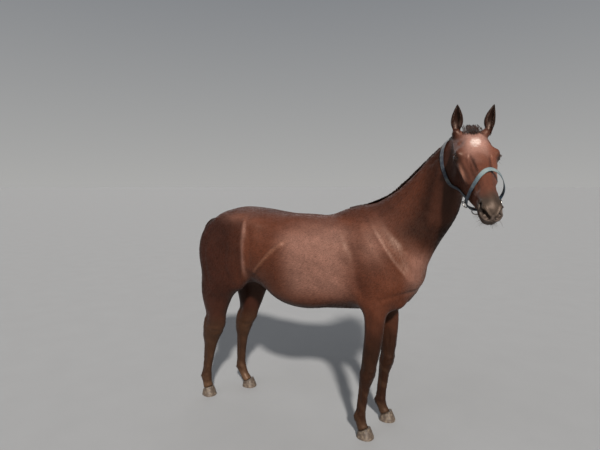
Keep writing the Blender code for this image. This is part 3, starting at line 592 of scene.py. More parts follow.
def refined(mesh, chosen):
    """The mesh with the chosen faces split in four."""
    bm = bmesh.new()
    bm.from_mesh(mesh)
    middles = np.array([face.calc_center_median() for face in bm.faces])
    picked = chosen(middles)
    edges = {edge for face, pick in zip(bm.faces, picked) if pick for edge in face.edges}
    bmesh.ops.subdivide_edges(bm, edges=list(edges), cuts=1, use_grid_fill=True)
    bm.to_mesh(mesh)
    bm.free()


def fine_zone(points):
    """The head, and the legs below knee and hock."""
    u, v, w = head_place(points)
    head = (u > -0.06) & (u < 0.7) & (v > -0.36) & (v < 0.12) & (np.abs(w) < 0.15)
    return (head & (points[:, 2] > 1.35)) | (points[:, 2] < 0.64)


def finest_zone(points):
    """Round the eyes, nostrils and lips."""
    near = np.zeros(len(points), bool)
    for u, v, w, reach in ((*EYE, 0.042), (0.575, -0.065, 0.045, 0.04), (0.59, -0.11, 0.02, 0.045)):
        for side in (-1, 1):
            near |= distance(points, on_head(u, v, side * w)) < reach
    return near


def lid_zone(points):
    return np.min([distance(points, at_eye(side, 0.012)) for side in (-1, 1)], axis=0) < 0.026


def easing(points):
    """How strongly the solids' facets are eased: most on the trunk, least on face and legs."""
    off_head = ramp(distance(points, on_head(0.3, -0.12, 0.0)), 0.36, 0.55)
    off_legs = ramp(points[:, 2], 0.62, 0.98)
    return np.minimum(0.05 + 0.95 * off_head, 0.1 + 0.9 * off_legs)


class Clay:
    """The skin's points while they are being shaped, in the body's own numbers."""

    def __init__(self, mesh):
        self.mesh = mesh
        self.points, self.normals, self.edges = read(mesh)
        self.tree = search_tree(self.points, mesh)

    def on_side(self, x, z, side):
        """The place on the left (1) or right (-1) side at x and z."""
        hit = self.tree.ray_cast(Vector((x, side * 1.2, z)), Vector((0, -side, 0)))[0]
        return np.array(hit if hit else (x, side * 0.2, z))

    def on_face(self, u, v, w):
        return np.array(self.tree.find_nearest(Vector(on_head(u, v, w)))[0])

    def near(self, line, reach):
        """Indices of the points near a line of places, and their distance from it."""
        line = np.asarray(line)
        inside = (self.points > line.min(0) - reach) & (self.points < line.max(0) + reach)
        index = np.flatnonzero(inside.all(axis=1))
        found = np.full(len(index), FAR)
        for a, b in zip(line, line[1:] if len(line) > 1 else line):
            along = b - a
            length = max(along @ along, 1e-12)
            share = np.clip((self.points[index] - a) @ along / length, 0, 1)
            off = self.points[index] - a - share[:, None] * along
            found = np.minimum(found, np.linalg.norm(off, axis=1))
        return index, found

    def press(self, line, height, width):
        """Raises (or, below zero, sinks) the skin along a line, or round one place."""
        index, off = self.near(line, width * 2.6)
        self.points[index] += self.normals[index] * (height * bell(off / width))[:, None]

    def sink(self, line, depth, width, way):
        """A steep-sided hollow along a line, sunk one way."""
        index, off = self.near(line, width * 2.0)
        self.points[index] += np.outer(depth * np.exp(-((off / width) ** 4)), way)

    def ease(self, weight, rounds):
        self.points = relaxed(self.points, self.edges, weight, rounds)
        write(self.mesh, self.points)
        self.normals = read(self.mesh)[1]


# Relief on both sides of the body: height, width, then x and z along the line
BODY_RELIEF = (
    (0.005, 0.013, (0.1, 1.47), (0.19, 1.34), (0.29, 1.2), (0.385, 1.09)),  # blade's ridge
    (-0.0045, 0.022, (0.15, 1.5), (0.26, 1.385), (0.365, 1.25), (0.425, 1.12)),  # ahead of it
    (-0.004, 0.026, (0.09, 1.42), (0.175, 1.29), (0.26, 1.16)),  # behind it
    (-0.008, 0.024, (-0.03, 1.34), (0.034, 1.234), (0.051, 1.14), (0.072, 1.046), (0.1, 0.965)),
    (0.005, 0.034, (0.09, 1.27), (0.12, 1.16), (0.13, 1.05)),  # triceps
    (0.006, 0.03, (0.4, 1.08)),  # point of the shoulder
    (-0.007, 0.018, (0.41, 1.01), (0.3, 0.985), (0.21, 0.95)),  # over the forearm
    (0.007, 0.022, (0.045, 0.985)),  # elbow
    (0.004, 0.026, (0.18, 0.9), (0.19, 0.8), (0.175, 0.7)),  # front of the forearm
    (-0.004, 0.012, (0.14, 0.88), (0.14, 0.78), (0.135, 0.68)),
    (-0.008, 0.015, (0.59, 1.6), (0.545, 1.5), (0.49, 1.36), (0.435, 1.22)),  # jugular groove
    (-0.004, 0.02, (0.6, 1.78), (0.5, 1.62), (0.4, 1.45), (0.33, 1.33)),
    (-0.004, 0.022, (0.54, 1.85), (0.41, 1.725), (0.29, 1.6), (0.17, 1.51)),  # under the crest
    (0.017, 0.016, *FOLD[:-1]),  # flank fold
    (-0.012, 0.06, (-0.63, 1.34)),  # flank hollow
    (-0.006, 0.03, (-0.54, 1.15), (-0.64, 1.06)),
    (0.01, 0.04, (-0.735, 1.43)),  # point of the hip
    (0.011, 0.015, (-0.79, 1.42), (-0.772, 1.29), (-0.778, 1.13), (-0.834, 0.95)),  # thigh's front
    (-0.007, 0.022, (-0.74, 1.36), (-0.722, 1.25), (-0.728, 1.12)),
    (-0.003, 0.008, (-0.792, 1.375), (-0.775, 1.415), (-0.766, 1.455)),
    (-0.006, 0.02, (-1.09, 1.37), (-1.13, 1.23), (-1.13, 1.08), (-1.1, 0.95)),  # hamstring
    (-0.004, 0.03, (-0.81, 1.45), (-0.93, 1.35), (-1.06, 1.29)),
    (0.006, 0.032, (-0.8, 0.985)),  # kneecap
    (-0.006, 0.022, (-0.9, 0.95), (-0.95, 1.08), (-0.93, 1.22)),  # between the thigh's halves
    (-0.005, 0.013, (-1.0, 0.85), (-1.045, 0.77), (-1.08, 0.69)),  # gaskin
    (0.004, 0.024, (-0.96, 0.84), (-1.01, 0.75), (-1.06, 0.68)),
)
BODY_DEPTH = 0.55  # of the heights above
RIBS, FIRST_RIB, RIB_STEP = 8, -0.02, 0.072
RIB = ((0.0, 1.32), (0.045, 1.18), (0.055, 1.04))  # how far it leans back, and z
RIB_HEIGHT, RIB_WIDTH = 0.0009, 0.016
# Relief on both sides of the head: height, width, then u, v and w along the line
HEAD_RELIEF = (
    (0.0035, 0.008, (0.235, -0.08, 0.095), (0.3, -0.084, 0.08), (0.365, -0.092, 0.07)),  # crest
    (0.0034, 0.013, (0.165, -0.045, 0.105), (0.11, -0.052, 0.1), (0.055, -0.06, 0.092)),  # arch
    (-0.008, 0.017, (0.12, -0.012, 0.078)),  # hollow over the eye
    (0.0025, 0.012, (0.05, 0.004, 0.03), (0.1, 0.016, 0.045), (0.16, 0.016, 0.064)),
    (0.0018, 0.009, (0.275, 0.006, 0.038), (0.34, 0.0, 0.032), (0.44, -0.006, 0.024)),  # nose bone
    (-0.0045, 0.013, (0.25, -0.03, 0.066), (0.35, -0.036, 0.054), (0.45, -0.04, 0.046)),
    (-0.004, 0.012, (0.245, -0.11, 0.096), (0.262, -0.165, 0.088), (0.275, -0.215, 0.072)),
    (-0.0035, 0.012, (0.06, -0.15, 0.1), (0.11, -0.225, 0.092), (0.19, -0.27, 0.078)),
    (0.002, 0.0045, (0.245, -0.085, 0.096), (0.275, -0.13, 0.086), (0.298, -0.18, 0.072),
     (0.305, -0.225, 0.055)),
    (0.0016, 0.004, (0.26, -0.1, 0.092), (0.33, -0.11, 0.078), (0.4, -0.092, 0.066), (0.47, -0.07, 0.055)),
    (-0.0028, 0.006, (0.225, -0.015, 0.045), (0.262, -0.02, 0.052), (0.3, -0.025, 0.055)),  # under the eye
    (0.004, 0.006, (0.528, -0.038, 0.044), (0.56, -0.03, 0.041), (0.59, -0.042, 0.031),
     (0.61, -0.062, 0.016)),
    (0.0035, 0.006, (0.53, -0.068, 0.05), (0.568, -0.08, 0.047), (0.6, -0.088, 0.035),
     (0.613, -0.09, 0.018)),
    (-0.005, 0.01, (0.52, -0.066, 0.052), (0.49, -0.074, 0.05)),  # behind the nostril
    (-0.004, 0.007, (0.24, -0.01, 0.05), (0.287, -0.012, 0.043), (0.345, -0.014, 0.034)),
    (0.003, 0.012, (0.249, -0.064, 0.092), (0.297, -0.078, 0.082), (0.345, -0.084, 0.074)),
    (-0.005, 0.0045, (0.5, -0.116, 0.052), (0.54, -0.12, 0.052), (0.58, -0.118, 0.044),
     (0.606, -0.112, 0.026), (0.616, -0.108, 0.0)),
    (0.003, 0.008, (0.52, -0.104, 0.054), (0.56, -0.104, 0.052), (0.596, -0.098, 0.038),
     (0.612, -0.094, 0.012)),
    (0.0028, 0.008, (0.52, -0.132, 0.048), (0.56, -0.136, 0.044), (0.592, -0.132, 0.03),
     (0.6, -0.13, 0.008)),
    (-0.004, 0.01, (0.5, -0.162, 0.03), (0.505, -0.166, 0.0)),  # chin groove
    (-0.002, 0.004, (0.592, -0.07, 0.0), (0.612, -0.09, 0.0)),  # upper lip's middle
)


LEGS = ("fore_R", "fore_L", "hind_R", "hind_L")


def on_leg(points, name, apart):
    """Which points lie on the leg's end and side of the horse, over this far from its middle."""
    x, y, _ = points.T
    at_end = x > 0 if "fore" in name else x < -0.5
    return at_end & (y * (1 if name.endswith("L") else -1) > apart)


def leg_slices(points):
    """Heights from floor to elbow; the leg's middle, half depth and half width at each."""
    heights = np.linspace(0.05, 0.8, 40)
    rows = []
    for z in heights:
        ring = points[np.abs(points[:, 2] - z) < 0.01]
        low, high = ring[:, :2].min(0), ring[:, :2].max(0)
        rows.append((*(low + high) / 2, *(high - low) / 2))
    return heights, np.array(rows)


# Relief round a leg: height, at, how far up and down, angle from the front, its width (degrees)
FORE_RELIEF = (
    (-0.0045, 0.27, 0.075, 118, 17),  # between bone and tendons
    (0.0025, 0.27, 0.08, 165, 20),
    (0.002, 0.26, 0.08, 0, 20),
    (0.004, 0.43, 0.022, 42, 26),  # knee
    (0.0035, 0.47, 0.016, 35, 30),
    (-0.001, 0.448, 0.01, 25, 45),
    (-0.001, 0.405, 0.01, 25, 45),
    (0.005, 0.44, 0.022, 180, 26),  # bone behind the knee
    (-0.005, 0.48, 0.03, 130, 20),
    (0.0035, 0.152, 0.016, 75, 30),  # fetlock
    (0.004, 0.142, 0.014, 150, 26),
    (-0.004, 0.182, 0.012, 120, 20),
    (-0.003, 0.1, 0.014, 175, 30),
    (0.003, 0.56, 0.07, 20, 26),  # forearm
    (-0.004, 0.6, 0.08, 75, 13),
    (0.003, 0.62, 0.08, 120, 24),
)
HIND_RELIEF = (
    (-0.0045, 0.31, 0.085, 112, 17),
    (0.0025, 0.31, 0.09, 165, 20),
    (0.006, 0.625, 0.022, 180, 20),  # point of the hock
    (-0.009, 0.655, 0.045, 128, 20),  # before its tendon
    (-0.006, 0.59, 0.03, 125, 18),
    (0.005, 0.565, 0.02, 70, 26),
    (0.0035, 0.52, 0.018, 50, 26),
    (-0.001, 0.545, 0.014, 30, 45),
    (0.004, 0.48, 0.03, 170, 22),
    (0.0035, 0.162, 0.016, 75, 30),
    (0.004, 0.152, 0.014, 150, 26),
    (-0.004, 0.195, 0.012, 120, 20),
    (-0.003, 0.108, 0.014, 175, 30),
)


def shape_legs(clay):
    x, y, z = clay.points.T
    for name in LEGS:
        heights, rows = leg_slices(clay.points[on_leg(clay.points, name, 0.02)])
        index = np.flatnonzero(on_leg(clay.points, name, 0.0) & (z < 0.76))
        mid_x, mid_y, deep, wide = (np.interp(z[index], heights, column) for column in rows.T)
        angle = np.degrees(np.arctan2((y[index] - mid_y) / wide, (x[index] - mid_x) / deep))
        push = np.zeros(len(index))
        for height, at, spread, round_at, broad in FORE_RELIEF if "fore" in name else HIND_RELIEF:
            off = np.abs(np.abs(angle) - round_at)
            push += height * bell((z[index] - at) / spread, off / broad)
        clay.points[index] += clay.normals[index] * push[:, None]


def shape_body(clay):
    for side in (-1, 1):
        for height, width, *line in BODY_RELIEF:
            clay.press([clay.on_side(x, z, side) for x, z in dense(line)], height * BODY_DEPTH, width)
        for rib in range(RIBS):
            top = FIRST_RIB - RIB_STEP * rib
            line = [clay.on_side(top - lean, z, side) for lean, z in RIB]
            clay.press(line, RIB_HEIGHT, RIB_WIDTH)
        for height, width, *line in HEAD_RELIEF:
            clay.press([clay.on_face(u, v, side * w) for u, v, w in dense(line)], height, width)
        line = [clay.on_face(u, v, side * w) for u, v, w in dense(NOSTRIL)]
        clay.sink(line, NOSTRIL_DEPTH, NOSTRIL_WIDTH, into_nostril(side))


# -------- ears and eyelids

EARS = ((-1, 0.076, 0.01), (1, 0.09, 0.13))  # side, distance from the middle, lean outwards
EAR_ROOT = (0.012, -0.022)
EAR_LENGTH, EAR_WALL = 0.15, 0.0052
EAR_BOW = 0.012  # how far back its middle bows
EAR_SWEEP = 118  # degrees from its back to its rim
# Ear from root to tip: share of length, half width, half depth
EAR = (
    (-0.12, 0.016, 0.017),
    (0.0, 0.019, 0.02),
    (0.15, 0.027, 0.025),
    (0.38, 0.034, 0.025),
    (0.62, 0.029, 0.019),
    (0.84, 0.016, 0.01),
    (1.0, 0.0035, 0.0035),
)


def ear_axes(side, apart, outward):
    """An ear's root, its axis, its back and its breadth."""
    axis = unit(UP + FACE_AHEAD * 0.1 + HEAD_LEFT * side * outward)
    open_to = unit(FACE_AHEAD + HEAD_LEFT * side * 0.35)
    back = -unit(open_to - axis * (open_to @ axis))
    return on_head(*EAR_ROOT, side * apart), axis, back, np.cross(axis, back)


def ear_core(root, axis, back, share, half):
    """The ear's middle at a share of its length, and its hollow's size as a share of the shell's."""
    middle = root + axis * (share * EAR_LENGTH) + back * (EAR_BOW * np.sin(np.pi * max(share, 0)))
    return middle, 1 - min(0.8, EAR_WALL / half)


def ear_mesh(ear_place):
    """A cupped ear, open ahead, with a rounded rim."""
    root, axis, back, broad = ear_axes(*ear_place)
    rings = []
    for share, half, deep in dense(EAR, 44):
        middle, thin = ear_core(root, axis, back, share, half)
        sweep = np.radians(np.linspace(-EAR_SWEEP, EAR_SWEEP, 33))[:, None]
        rim = 1 - 0.1 * (np.abs(np.linspace(-1, 1, 33)) ** 14)[:, None]
        shell = (broad * half * np.sin(sweep) + back * deep * np.cos(sweep)) * rim
        inside = sweep[::-1] * 0.95
        hollow = (broad * half * np.sin(inside) + back * deep * np.cos(inside)) * thin
        rings.append(middle + np.vstack([shell, hollow]))
    points, quads, triangles = tube(rings)
    return mesh_of("ear", points, quads, triangles)


def ear_share(points):
    """How far up its ear each point lies, as a share of the length; -FAR off the ears."""
    found = np.full(len(points), -FAR)
    for ear_place in EARS:
        root, axis, back, _ = ear_axes(*ear_place)
        up = (points - root) @ axis / EAR_LENGTH
        aside = distance(points - root, np.outer(up * EAR_LENGTH, axis) + back * 0.008)
        found = np.where((aside < 0.052) & (up > 0.02), up, found)
    return found


SLIT_TILT = np.radians(22.0)
SLIT_HALF = 0.02
UPPER_LID, LOWER_LID = 0.012, 0.0088
LID_EDGE = 0.0006  # points this near to the slit's outline are drawn onto it
LID_BREADTH, LID_CREASE = 0.009, 0.0062  # from the slit's outline


def eye_axes(side):
    """The eye's middle, and its ways to the inner corner, to the brow and out of the head."""
    out = unit(HEAD_LEFT * side + OFF_FACE * 0.28 + DOWN_FACE * 0.1)
    corner = DOWN_FACE * np.cos(SLIT_TILT) + OFF_FACE * np.sin(SLIT_TILT)
    corner = unit(corner - out * (corner @ out))
    brow = np.cross(out, corner)
    return at_eye(side), corner, brow * np.sign(brow @ UP), out


def lid_edge(along, upper):
    """Height of the lid's edge over the slit's line."""
    span = np.clip(1 - (along / SLIT_HALF) ** 2, 0, 1)
    peak = np.where(upper, UPPER_LID, LOWER_LID) * (1 - 0.25 * along / SLIT_HALF)
    return peak * span**0.8


def open_eyes(points):
    """Sinks the skin between the lids behind the eyeball's front and lays the lids on the ball."""
    for side in (-1, 1):
        middle, corner, brow, out = eye_axes(side)
        off = points - middle
        along, up, high = off @ corner, off @ brow, off @ out
        near = (distance(points, middle) < 0.045) & (high > 0)
        edge = lid_edge(along, up > 0)
        gap = np.abs(up) - edge
        outside = np.maximum(np.abs(along) - SLIT_HALF, 0)
        gap = np.where(outside > 0, np.hypot(outside, up), gap)
        ball = np.sqrt(np.maximum(EYE_RADIUS**2 - along**2 - up**2, 0))
        snap = near & (np.abs(gap) < LID_EDGE) & (outside == 0)
        points[snap] += np.outer((np.sign(up) * edge - up)[snap], brow)
        lid = near & (gap > -LID_EDGE) & (gap < LID_BREADTH)
        rise = 0.0009 + 0.0024 * ramp(gap, 0.0, 0.0045)
        blend = ramp(gap, LID_BREADTH, 0.005)
        crease = 0.002 * bell((gap - LID_CREASE) / 0.0011) * (up > 0)
        change = (ball + rise - high) * blend * (ball > 0) - crease
        points[lid] += np.outer(change[lid], out)
        inside = near & (gap <= -LID_EDGE)
        points[inside] += np.outer((ball - 0.005 - high)[inside], out)
    return points


# -------- the skin itself

EASE_ROUNDS, FINE_ROUNDS = 100, 5

skin = new_object("skin", flesh_mesh())
grain = skin.modifiers.new("grain", "REMESH")
grain.mode = "VOXEL"
grain.voxel_size = SKIN_VOXEL
applied(skin)
clay = Clay(skin.data)
clay.ease(easing(clay.points), EASE_ROUNDS)
refined(skin.data, fine_zone)
clay = Clay(skin.data)
clay.ease(np.where(fine_zone(clay.points), 0.8, 0.2), FINE_ROUNDS)
refined(skin.data, finest_zone)
refined(skin.data, lid_zone)
clay = Clay(skin.data)
shape_body(clay)
shape_legs(clay)
clay.ease(np.full(len(clay.points), 0.4), 3)
for ear_place in EARS:
    ear = new_object("ear", ear_mesh(ear_place))
    joint = skin.modifiers.new("ear", "BOOLEAN")
    joint.operation, joint.solver, joint.object = "UNION", "MANIFOLD", ear
    applied(skin)
    bpy.data.objects.remove(ear, do_unlink=True)
clay = Clay(skin.data)
up_ear = ear_share(clay.points)
clay.ease(0.9 * ramp(up_ear, 0.0, 0.06) * ramp(up_ear, 0.3, 0.18), 5)
from_root = [distance(clay.points, on_head(*EAR_ROOT, side * apart)) for side, apart, _ in EARS]
clay.ease(ramp(np.min(from_root, axis=0), 0.055, 0.03) * ramp(up_ear, 0.24, 0.12), 14)
up_ear = ear_share(clay.points)
inset = (CUT_CLOSER + COAT_DEPTH) * (1 - 0.8 * ramp(up_ear, 0.05, 0.25))
shaped = open_eyes(clay.points - clay.normals * inset[:, None])
paint(skin.data, coat_colour(shaped, clay.normals))
paint(skin.data, np.stack(regions(shaped), 1), "region")
write(skin.data, shaped + ORIGIN)
dressed(skin, coat_material("coat over the skin", 0.55, 0.32), "chestnut_coat", [*FLESH, "ear_L", "ear_R"])

# -------- eyes

HALF_PUPIL = (0.0085, 0.0042)  # its half length and half height
IRIS_RADIUS, WHITE_FROM = 0.0152, 0.0185  # from the middle of the pupil


def eye_material():
    """A wet, dark brown eye; iris, pupil and white are painted on the ball."""
    material, tree, shader = new_material(
        "wet eye", Roughness=0.08, Specular_IOR_Level=0.3, Coat_Weight=0.35, Coat_Roughness=0.03
    )
    vein = noise(tree, own_place(tree), 420.0, 3.0)
    coat = darkened(tree, painted(tree), (0.55, 0.5, 0.48), vein, 0.35, 0.65)
    tree.links.new(coat, shader.inputs["Base Color"])
    return material


def eyeball(tag, side, material):
    middle, corner, brow, out = eye_axes(side)
    tilt = np.concatenate([np.linspace(0.004, 0.9, 34), np.linspace(0.95, np.pi - 0.01, 22)])
    turn = np.linspace(0, 2 * np.pi, 72, endpoint=False)
    rings, shades = [], []
    for a in tilt:
        cornea = EYE_RADIUS + 0.0011 * ramp(a, 0.7, 0.3)
        along, up = np.cos(turn) * np.sin(a) * cornea, np.sin(turn) * np.sin(a) * cornea
        rings.append(middle + np.outer(along, corner) + np.outer(up, brow) + out * np.cos(a) * cornea)
        fibre = 0.75 + 0.35 * np.sin(turn * 31) * np.sin(turn * 12 + 2) + 0.2 * np.sin(a * 40)
        shade = np.outer(np.maximum(fibre, 0.2), (0.022, 0.0085, 0.0038))
        pupil = (along / HALF_PUPIL[0]) ** 2 + (up / HALF_PUPIL[1]) ** 2
        shade = np.where((pupil < 1)[:, None], (0.0015, 0.0018, 0.003), shade)
        rim = np.hypot(along, up)
        shade = np.where((rim > IRIS_RADIUS)[:, None], (0.006, 0.004, 0.0035), shade)
        white = (rim > WHITE_FROM) & (a < 1.6)
        shade = np.where(white[:, None], (0.05, 0.034, 0.028), shade)
        shades.append(shade)
    points, quads, triangles = tube(rings[::-1])
    mesh = mesh_of("eyeball", points + ORIGIN, quads, triangles)
    paint(mesh, np.vstack([*shades[::-1], shades[-1][0], shades[0][0]]))
    dressed(new_object("eyeball_" + tag, mesh), material, "eye_dark", ["eye_" + tag])


wet = eye_material()
for side, tag in ((-1, "R"), (1, "L")):
    eyeball(tag, side, wet)

# -------- bake places on the skin

skin_points, skin_normals, _ = read(skin.data)
skin_points = skin_points - ORIGIN
skin_tree = search_tree(skin_points, skin.data)


def skin_at(spot):
    """The skin's place next to a spot, and its normal."""
    place, normal, _, _ = skin_tree.find_nearest(Vector(spot))
    return np.array(place), np.array(normal)


def unwrapped(faces):
    """A coarse copy of the skin unwrapped: its search tree, corners and their map places."""
    copy = new_object("unwrap", skin.data.copy())
    thin = copy.modifiers.new("thin", "DECIMATE")
    thin.ratio = faces / len(copy.data.polygons)
    applied(copy)
    bpy.context.view_layer.objects.active = copy
    copy.select_set(True)
    bpy.ops.object.mode_set(mode="EDIT")
    bpy.ops.mesh.select_all(action="SELECT")
    bpy.ops.mesh.quads_convert_to_tris()
    copy.data.uv_layers.new(name="places")
    bpy.ops.uv.smart_project(angle_limit=np.radians(66.0), island_margin=0.004)
    bpy.ops.object.mode_set(mode="OBJECT")
    points = read(copy.data)[0] - ORIGIN
    corners = pulled(copy.data.loops, "vertex_index", 1, np.int32).reshape(-1, 3)
    places = pulled(copy.data.uv_layers[0].data, "uv", 2).reshape(-1, 3, 2)
    tree = BVHTree.FromPolygons(points.tolist(), corners.tolist())
    bpy.data.objects.remove(copy, do_unlink=True)
    return tree, points[corners], places


UNWRAP_FACES = 9000
UNWRAP = unwrapped(UNWRAP_FACES)


def map_places(roots):
    """Where the roots lie on the skin's unwrap."""
    tree, corners, places = UNWRAP
    found = [tree.find_nearest(Vector(root))[0::2] for root in roots.tolist()]
    spots = np.array([spot for spot, _ in found])
    index = np.array([face for _, face in found])
    a, b, c = corners[index].transpose(1, 0, 2)
    ab, ac, ap = b - a, c - a, spots - a
    d00, d01, d11 = (np.sum(p * q, 1) for p, q in ((ab, ab), (ab, ac), (ac, ac)))
    d20, d21 = np.sum(ap * ab, 1), np.sum(ap * ac, 1)
    low = np.maximum(d00 * d11 - d01 * d01, 1e-16)
    share_b, share_c = (d11 * d20 - d01 * d21) / low, (d00 * d21 - d01 * d20) / low
    shares = np.clip(np.stack([1 - share_b - share_c, share_b, share_c], 1), 0, 1)
    return np.einsum("ij,ijk->ik", shares / shares.sum(1, keepdims=True), places[index])


MAP_PATCH = 0.003


def add_map(mesh, roots, patch):
    """The OFBake map: each lock is a small patch at its root's place."""
    spots = np.repeat(map_places(roots), len(patch), axis=0)
    spots = np.clip(spots + np.tile(np.asarray(patch) * MAP_PATCH, (len(roots), 1)), 0.0, 1.0)
    corners = pulled(mesh.loops, "vertex_index", 1, np.int32)[:, 0]
    layer = mesh.uv_layers.new(name="OFBake")
    layer.data.foreach_set("uv", spots[corners].astype(np.float32).ravel())


# -------- long hair


def locks(name, paths, widths, facing, shades, material, slot_name, replaced=(), deep=0.45):
    """Thin three-sided locks along paths, joined in one mesh."""
    count, steps, _ = paths.shape
    along = unit(np.gradient(paths, axis=1))
    across = unit(np.cross(along, facing))
    lift = np.cross(across, along)
    half = (widths / 2)[..., None]
    rings = np.stack([paths - across * half, paths + across * half, paths + lift * half * 2 * deep], 2)
    index = np.arange(count * steps * 3).reshape(count, steps, 3)
    here, ahead = index[:, :-1], index[:, 1:]
    quads = np.stack([here, np.roll(here, -1, 2), np.roll(ahead, -1, 2), ahead], -1).reshape(-1, 4)
    ends = np.concatenate([index[:, 0, ::-1], index[:, -1]])
    mesh = mesh_of(name, rings.reshape(-1, 3) + ORIGIN, quads[:, ::-1], ends[:, ::-1])
    paint(mesh, np.repeat(shades.reshape(-1, 3), 3, axis=0))
    turns = np.linspace(0, 1, steps)[None, :, None] * np.ones((1, 1, 3))
    patch = np.stack([np.tile((-0.5, 0.5, 0.0), (1, steps, 1)), turns - 0.5], -1).reshape(-1, 2)
    add_map(mesh, paths[:, 0], patch)
    dressed(new_object(name, mesh), material, slot_name, replaced)


def hair_material():
    """Coarse hair: painted colours with fine lengthwise streaks and a satin gloss."""
    material, tree, shader = new_material(
        "mane and tail hair", Roughness=0.42, Specular_IOR_Level=0.34,
        Specular_Tint=(0.9, 0.75, 0.66, 1.0), Sheen_Weight=0.05, Sheen_Roughness=0.4,
    )
    streak = streaks(tree, own_place(tree), LEG_TURN, 0.05, 0.0012)
    coat = streaked(tree, streak, (0.55, 0.52, 0.5), (1.5, 1.42, 1.36))
    surfaced(tree, shader, coat, ranged(tree, streak, 0.3, 0.7, 0.46, 0.32), streak, 0.5, 0.0008)
    return material


HAIR = np.array((0.018, 0.0105, 0.0085))
HAIR_WARM = np.array((0.05, 0.024, 0.016))
STIFF = 0.55  # how much of its heading a hanging lock keeps at each step
# About how wide the locks are at their roots
MANE_LOCK, FORELOCK_LOCK, TAIL_LOCK = 0.0042, 0.0036, 0.005
WHISKER, LASH, EAR_LOCK = 0.0007, 0.0009, 0.0012


def hair_shades(dice, count, steps, warm):
    """A colour for each step of each lock: darker at the root, some locks warmer."""
    mix = dice.normal(warm, 0.3, (count, 1, 1)) + np.linspace(-0.2, 0.35, steps)[None, :, None]
    return HAIR + (HAIR_WARM - HAIR) * np.clip(mix, 0, 1)


def taper(count, steps, wide, dice):
    """Widths along each lock: full at the root, fine at the tip."""
    share = np.linspace(0, 1, steps)[None]
    return wide * dice.uniform(0.6, 1.3, (count, 1)) * (1 - share**1.5 * 0.94)


def grown(name, strands, wide, dice, material, replaced=(), warm=0.35, deep=0.45):
    """Dark locks along strands, each a path and the way its steps face."""
    paths, facings = (np.array(rows) for rows in zip(*strands))
    count, steps, _ = paths.shape
    widths = taper(count, steps, wide, dice)
    shades = hair_shades(dice, count, steps, warm)
    locks(name, paths, widths, facings, shades, material, "black_hair", replaced, deep)


def draped(root, heading, length, steps, clear, pull):
    """A path that leaves the skin at its root and hangs down over it."""
    spot, way = np.array(root), unit(np.array(heading, float))
    path, facings = [], []
    stride = length / (steps - 1)
    for step in range(steps):
        on_skin, normal = skin_at(spot)
        off = (spot - on_skin) @ normal
        wanted = clear * min(1.0, step / 2)
        if step and off < wanted:
            spot = spot + normal * (wanted - off)
        path.append(spot.copy())
        facings.append(normal)
        way = unit(way * STIFF + np.array(pull) * (1 - STIFF))
        if off < wanted * 2:
            way = unit(way - normal * min(way @ normal, 0.0))
        spot = spot + way * stride
    path = np.array(path)
    for _ in range(3):
        path[1:-1] = (path[:-2] + path[1:-1] * 2 + path[2:]) / 4
    return path, facings


# Crest x, crest z, sideways shift, drop down the left side
MANE = (
    (-0.06, 1.535, 0.0, 0.04),
    (0.06, 1.562, 0.0, 0.09),
    (0.205, 1.624, 0.0, 0.125),
    (0.3, 1.7, -0.008, 0.135),
    (0.385, 1.777, -0.025, 0.135),
    (0.47, 1.854, -0.05, 0.125),
    (0.532, 1.906, -0.077, 0.1),
)
MANE_STEPS, CREST_PLACES = 9, 200


def mane(material, count):
    """Hair from the crest that lies over to the left."""
    dice = np.random.default_rng(41)
    crest = dense(MANE, CREST_PLACES)
    strands = []
    for _ in range(count):
        place = crest[dice.integers(0, CREST_PLACES)]
        x, z, shift, drop = place + dice.uniform(-0.004, 0.004, 4) * (1, 0, 0, 0)
        near = dice.uniform(-1.0, 1.0)
        root = np.array((x, shift + near * 0.013, z - 0.01))
        length = drop * dice.uniform(0.75, 1.25) + 0.03 + 0.015 * near
        heading = np.array((dice.normal(-0.1, 0.15), 0.75 + 0.3 * near, 0.42 - 0.2 * near))
        pull = (dice.normal(-0.18, 0.1), 0.5, -0.85)
        clear = dice.uniform(0.002, 0.008)
        strands.append(draped(root, heading, length, MANE_STEPS, clear, pull))
    grown("mane_hair", strands, MANE_LOCK, dice, material, ["mane"])


def forelock(material, count):
    """Short hair between the ears, down the forehead."""
    dice = np.random.default_rng(42)
    strands = []
    for _ in range(count):
        w = dice.normal(0, 0.02)
        root = on_head(dice.uniform(-0.03, 0.012), -0.004, w)
        heading = OFF_FACE * 0.45 + DOWN_FACE * 0.8 + HEAD_LEFT * (w * 4 + dice.normal(0, 0.08))
        length = dice.uniform(0.05, 0.095)
        pull = DOWN_FACE * 0.9 - OFF_FACE * 0.25 + HEAD_LEFT * dice.normal(-0.02, 0.1)
        strands.append(draped(root, heading, length, 7, dice.uniform(0.001, 0.006), pull))
    grown("forelock_hair", strands, FORELOCK_LOCK, dice, material, ["forelock"])


# X, y, z, half depth, half width
TAIL = (
    (-1.14, 0.0, 1.388, 0.02, 0.024),
    (-1.215, 0.0, 1.388, 0.028, 0.03),
    (-1.272, 0.0, 1.345, 0.032, 0.036),
    (-1.296, 0.004, 1.24, 0.036, 0.044),
    (-1.3, 0.008, 1.08, 0.042, 0.054),
    (-1.298, 0.014, 0.9, 0.044, 0.058),
    (-1.292, 0.02, 0.73, 0.04, 0.052),
    (-1.286, 0.026, 0.58, 0.03, 0.038),
    (-1.28, 0.03, 0.45, 0.01, 0.012),
)
TAIL_STEPS, TAIL_PLACES = 16, 240


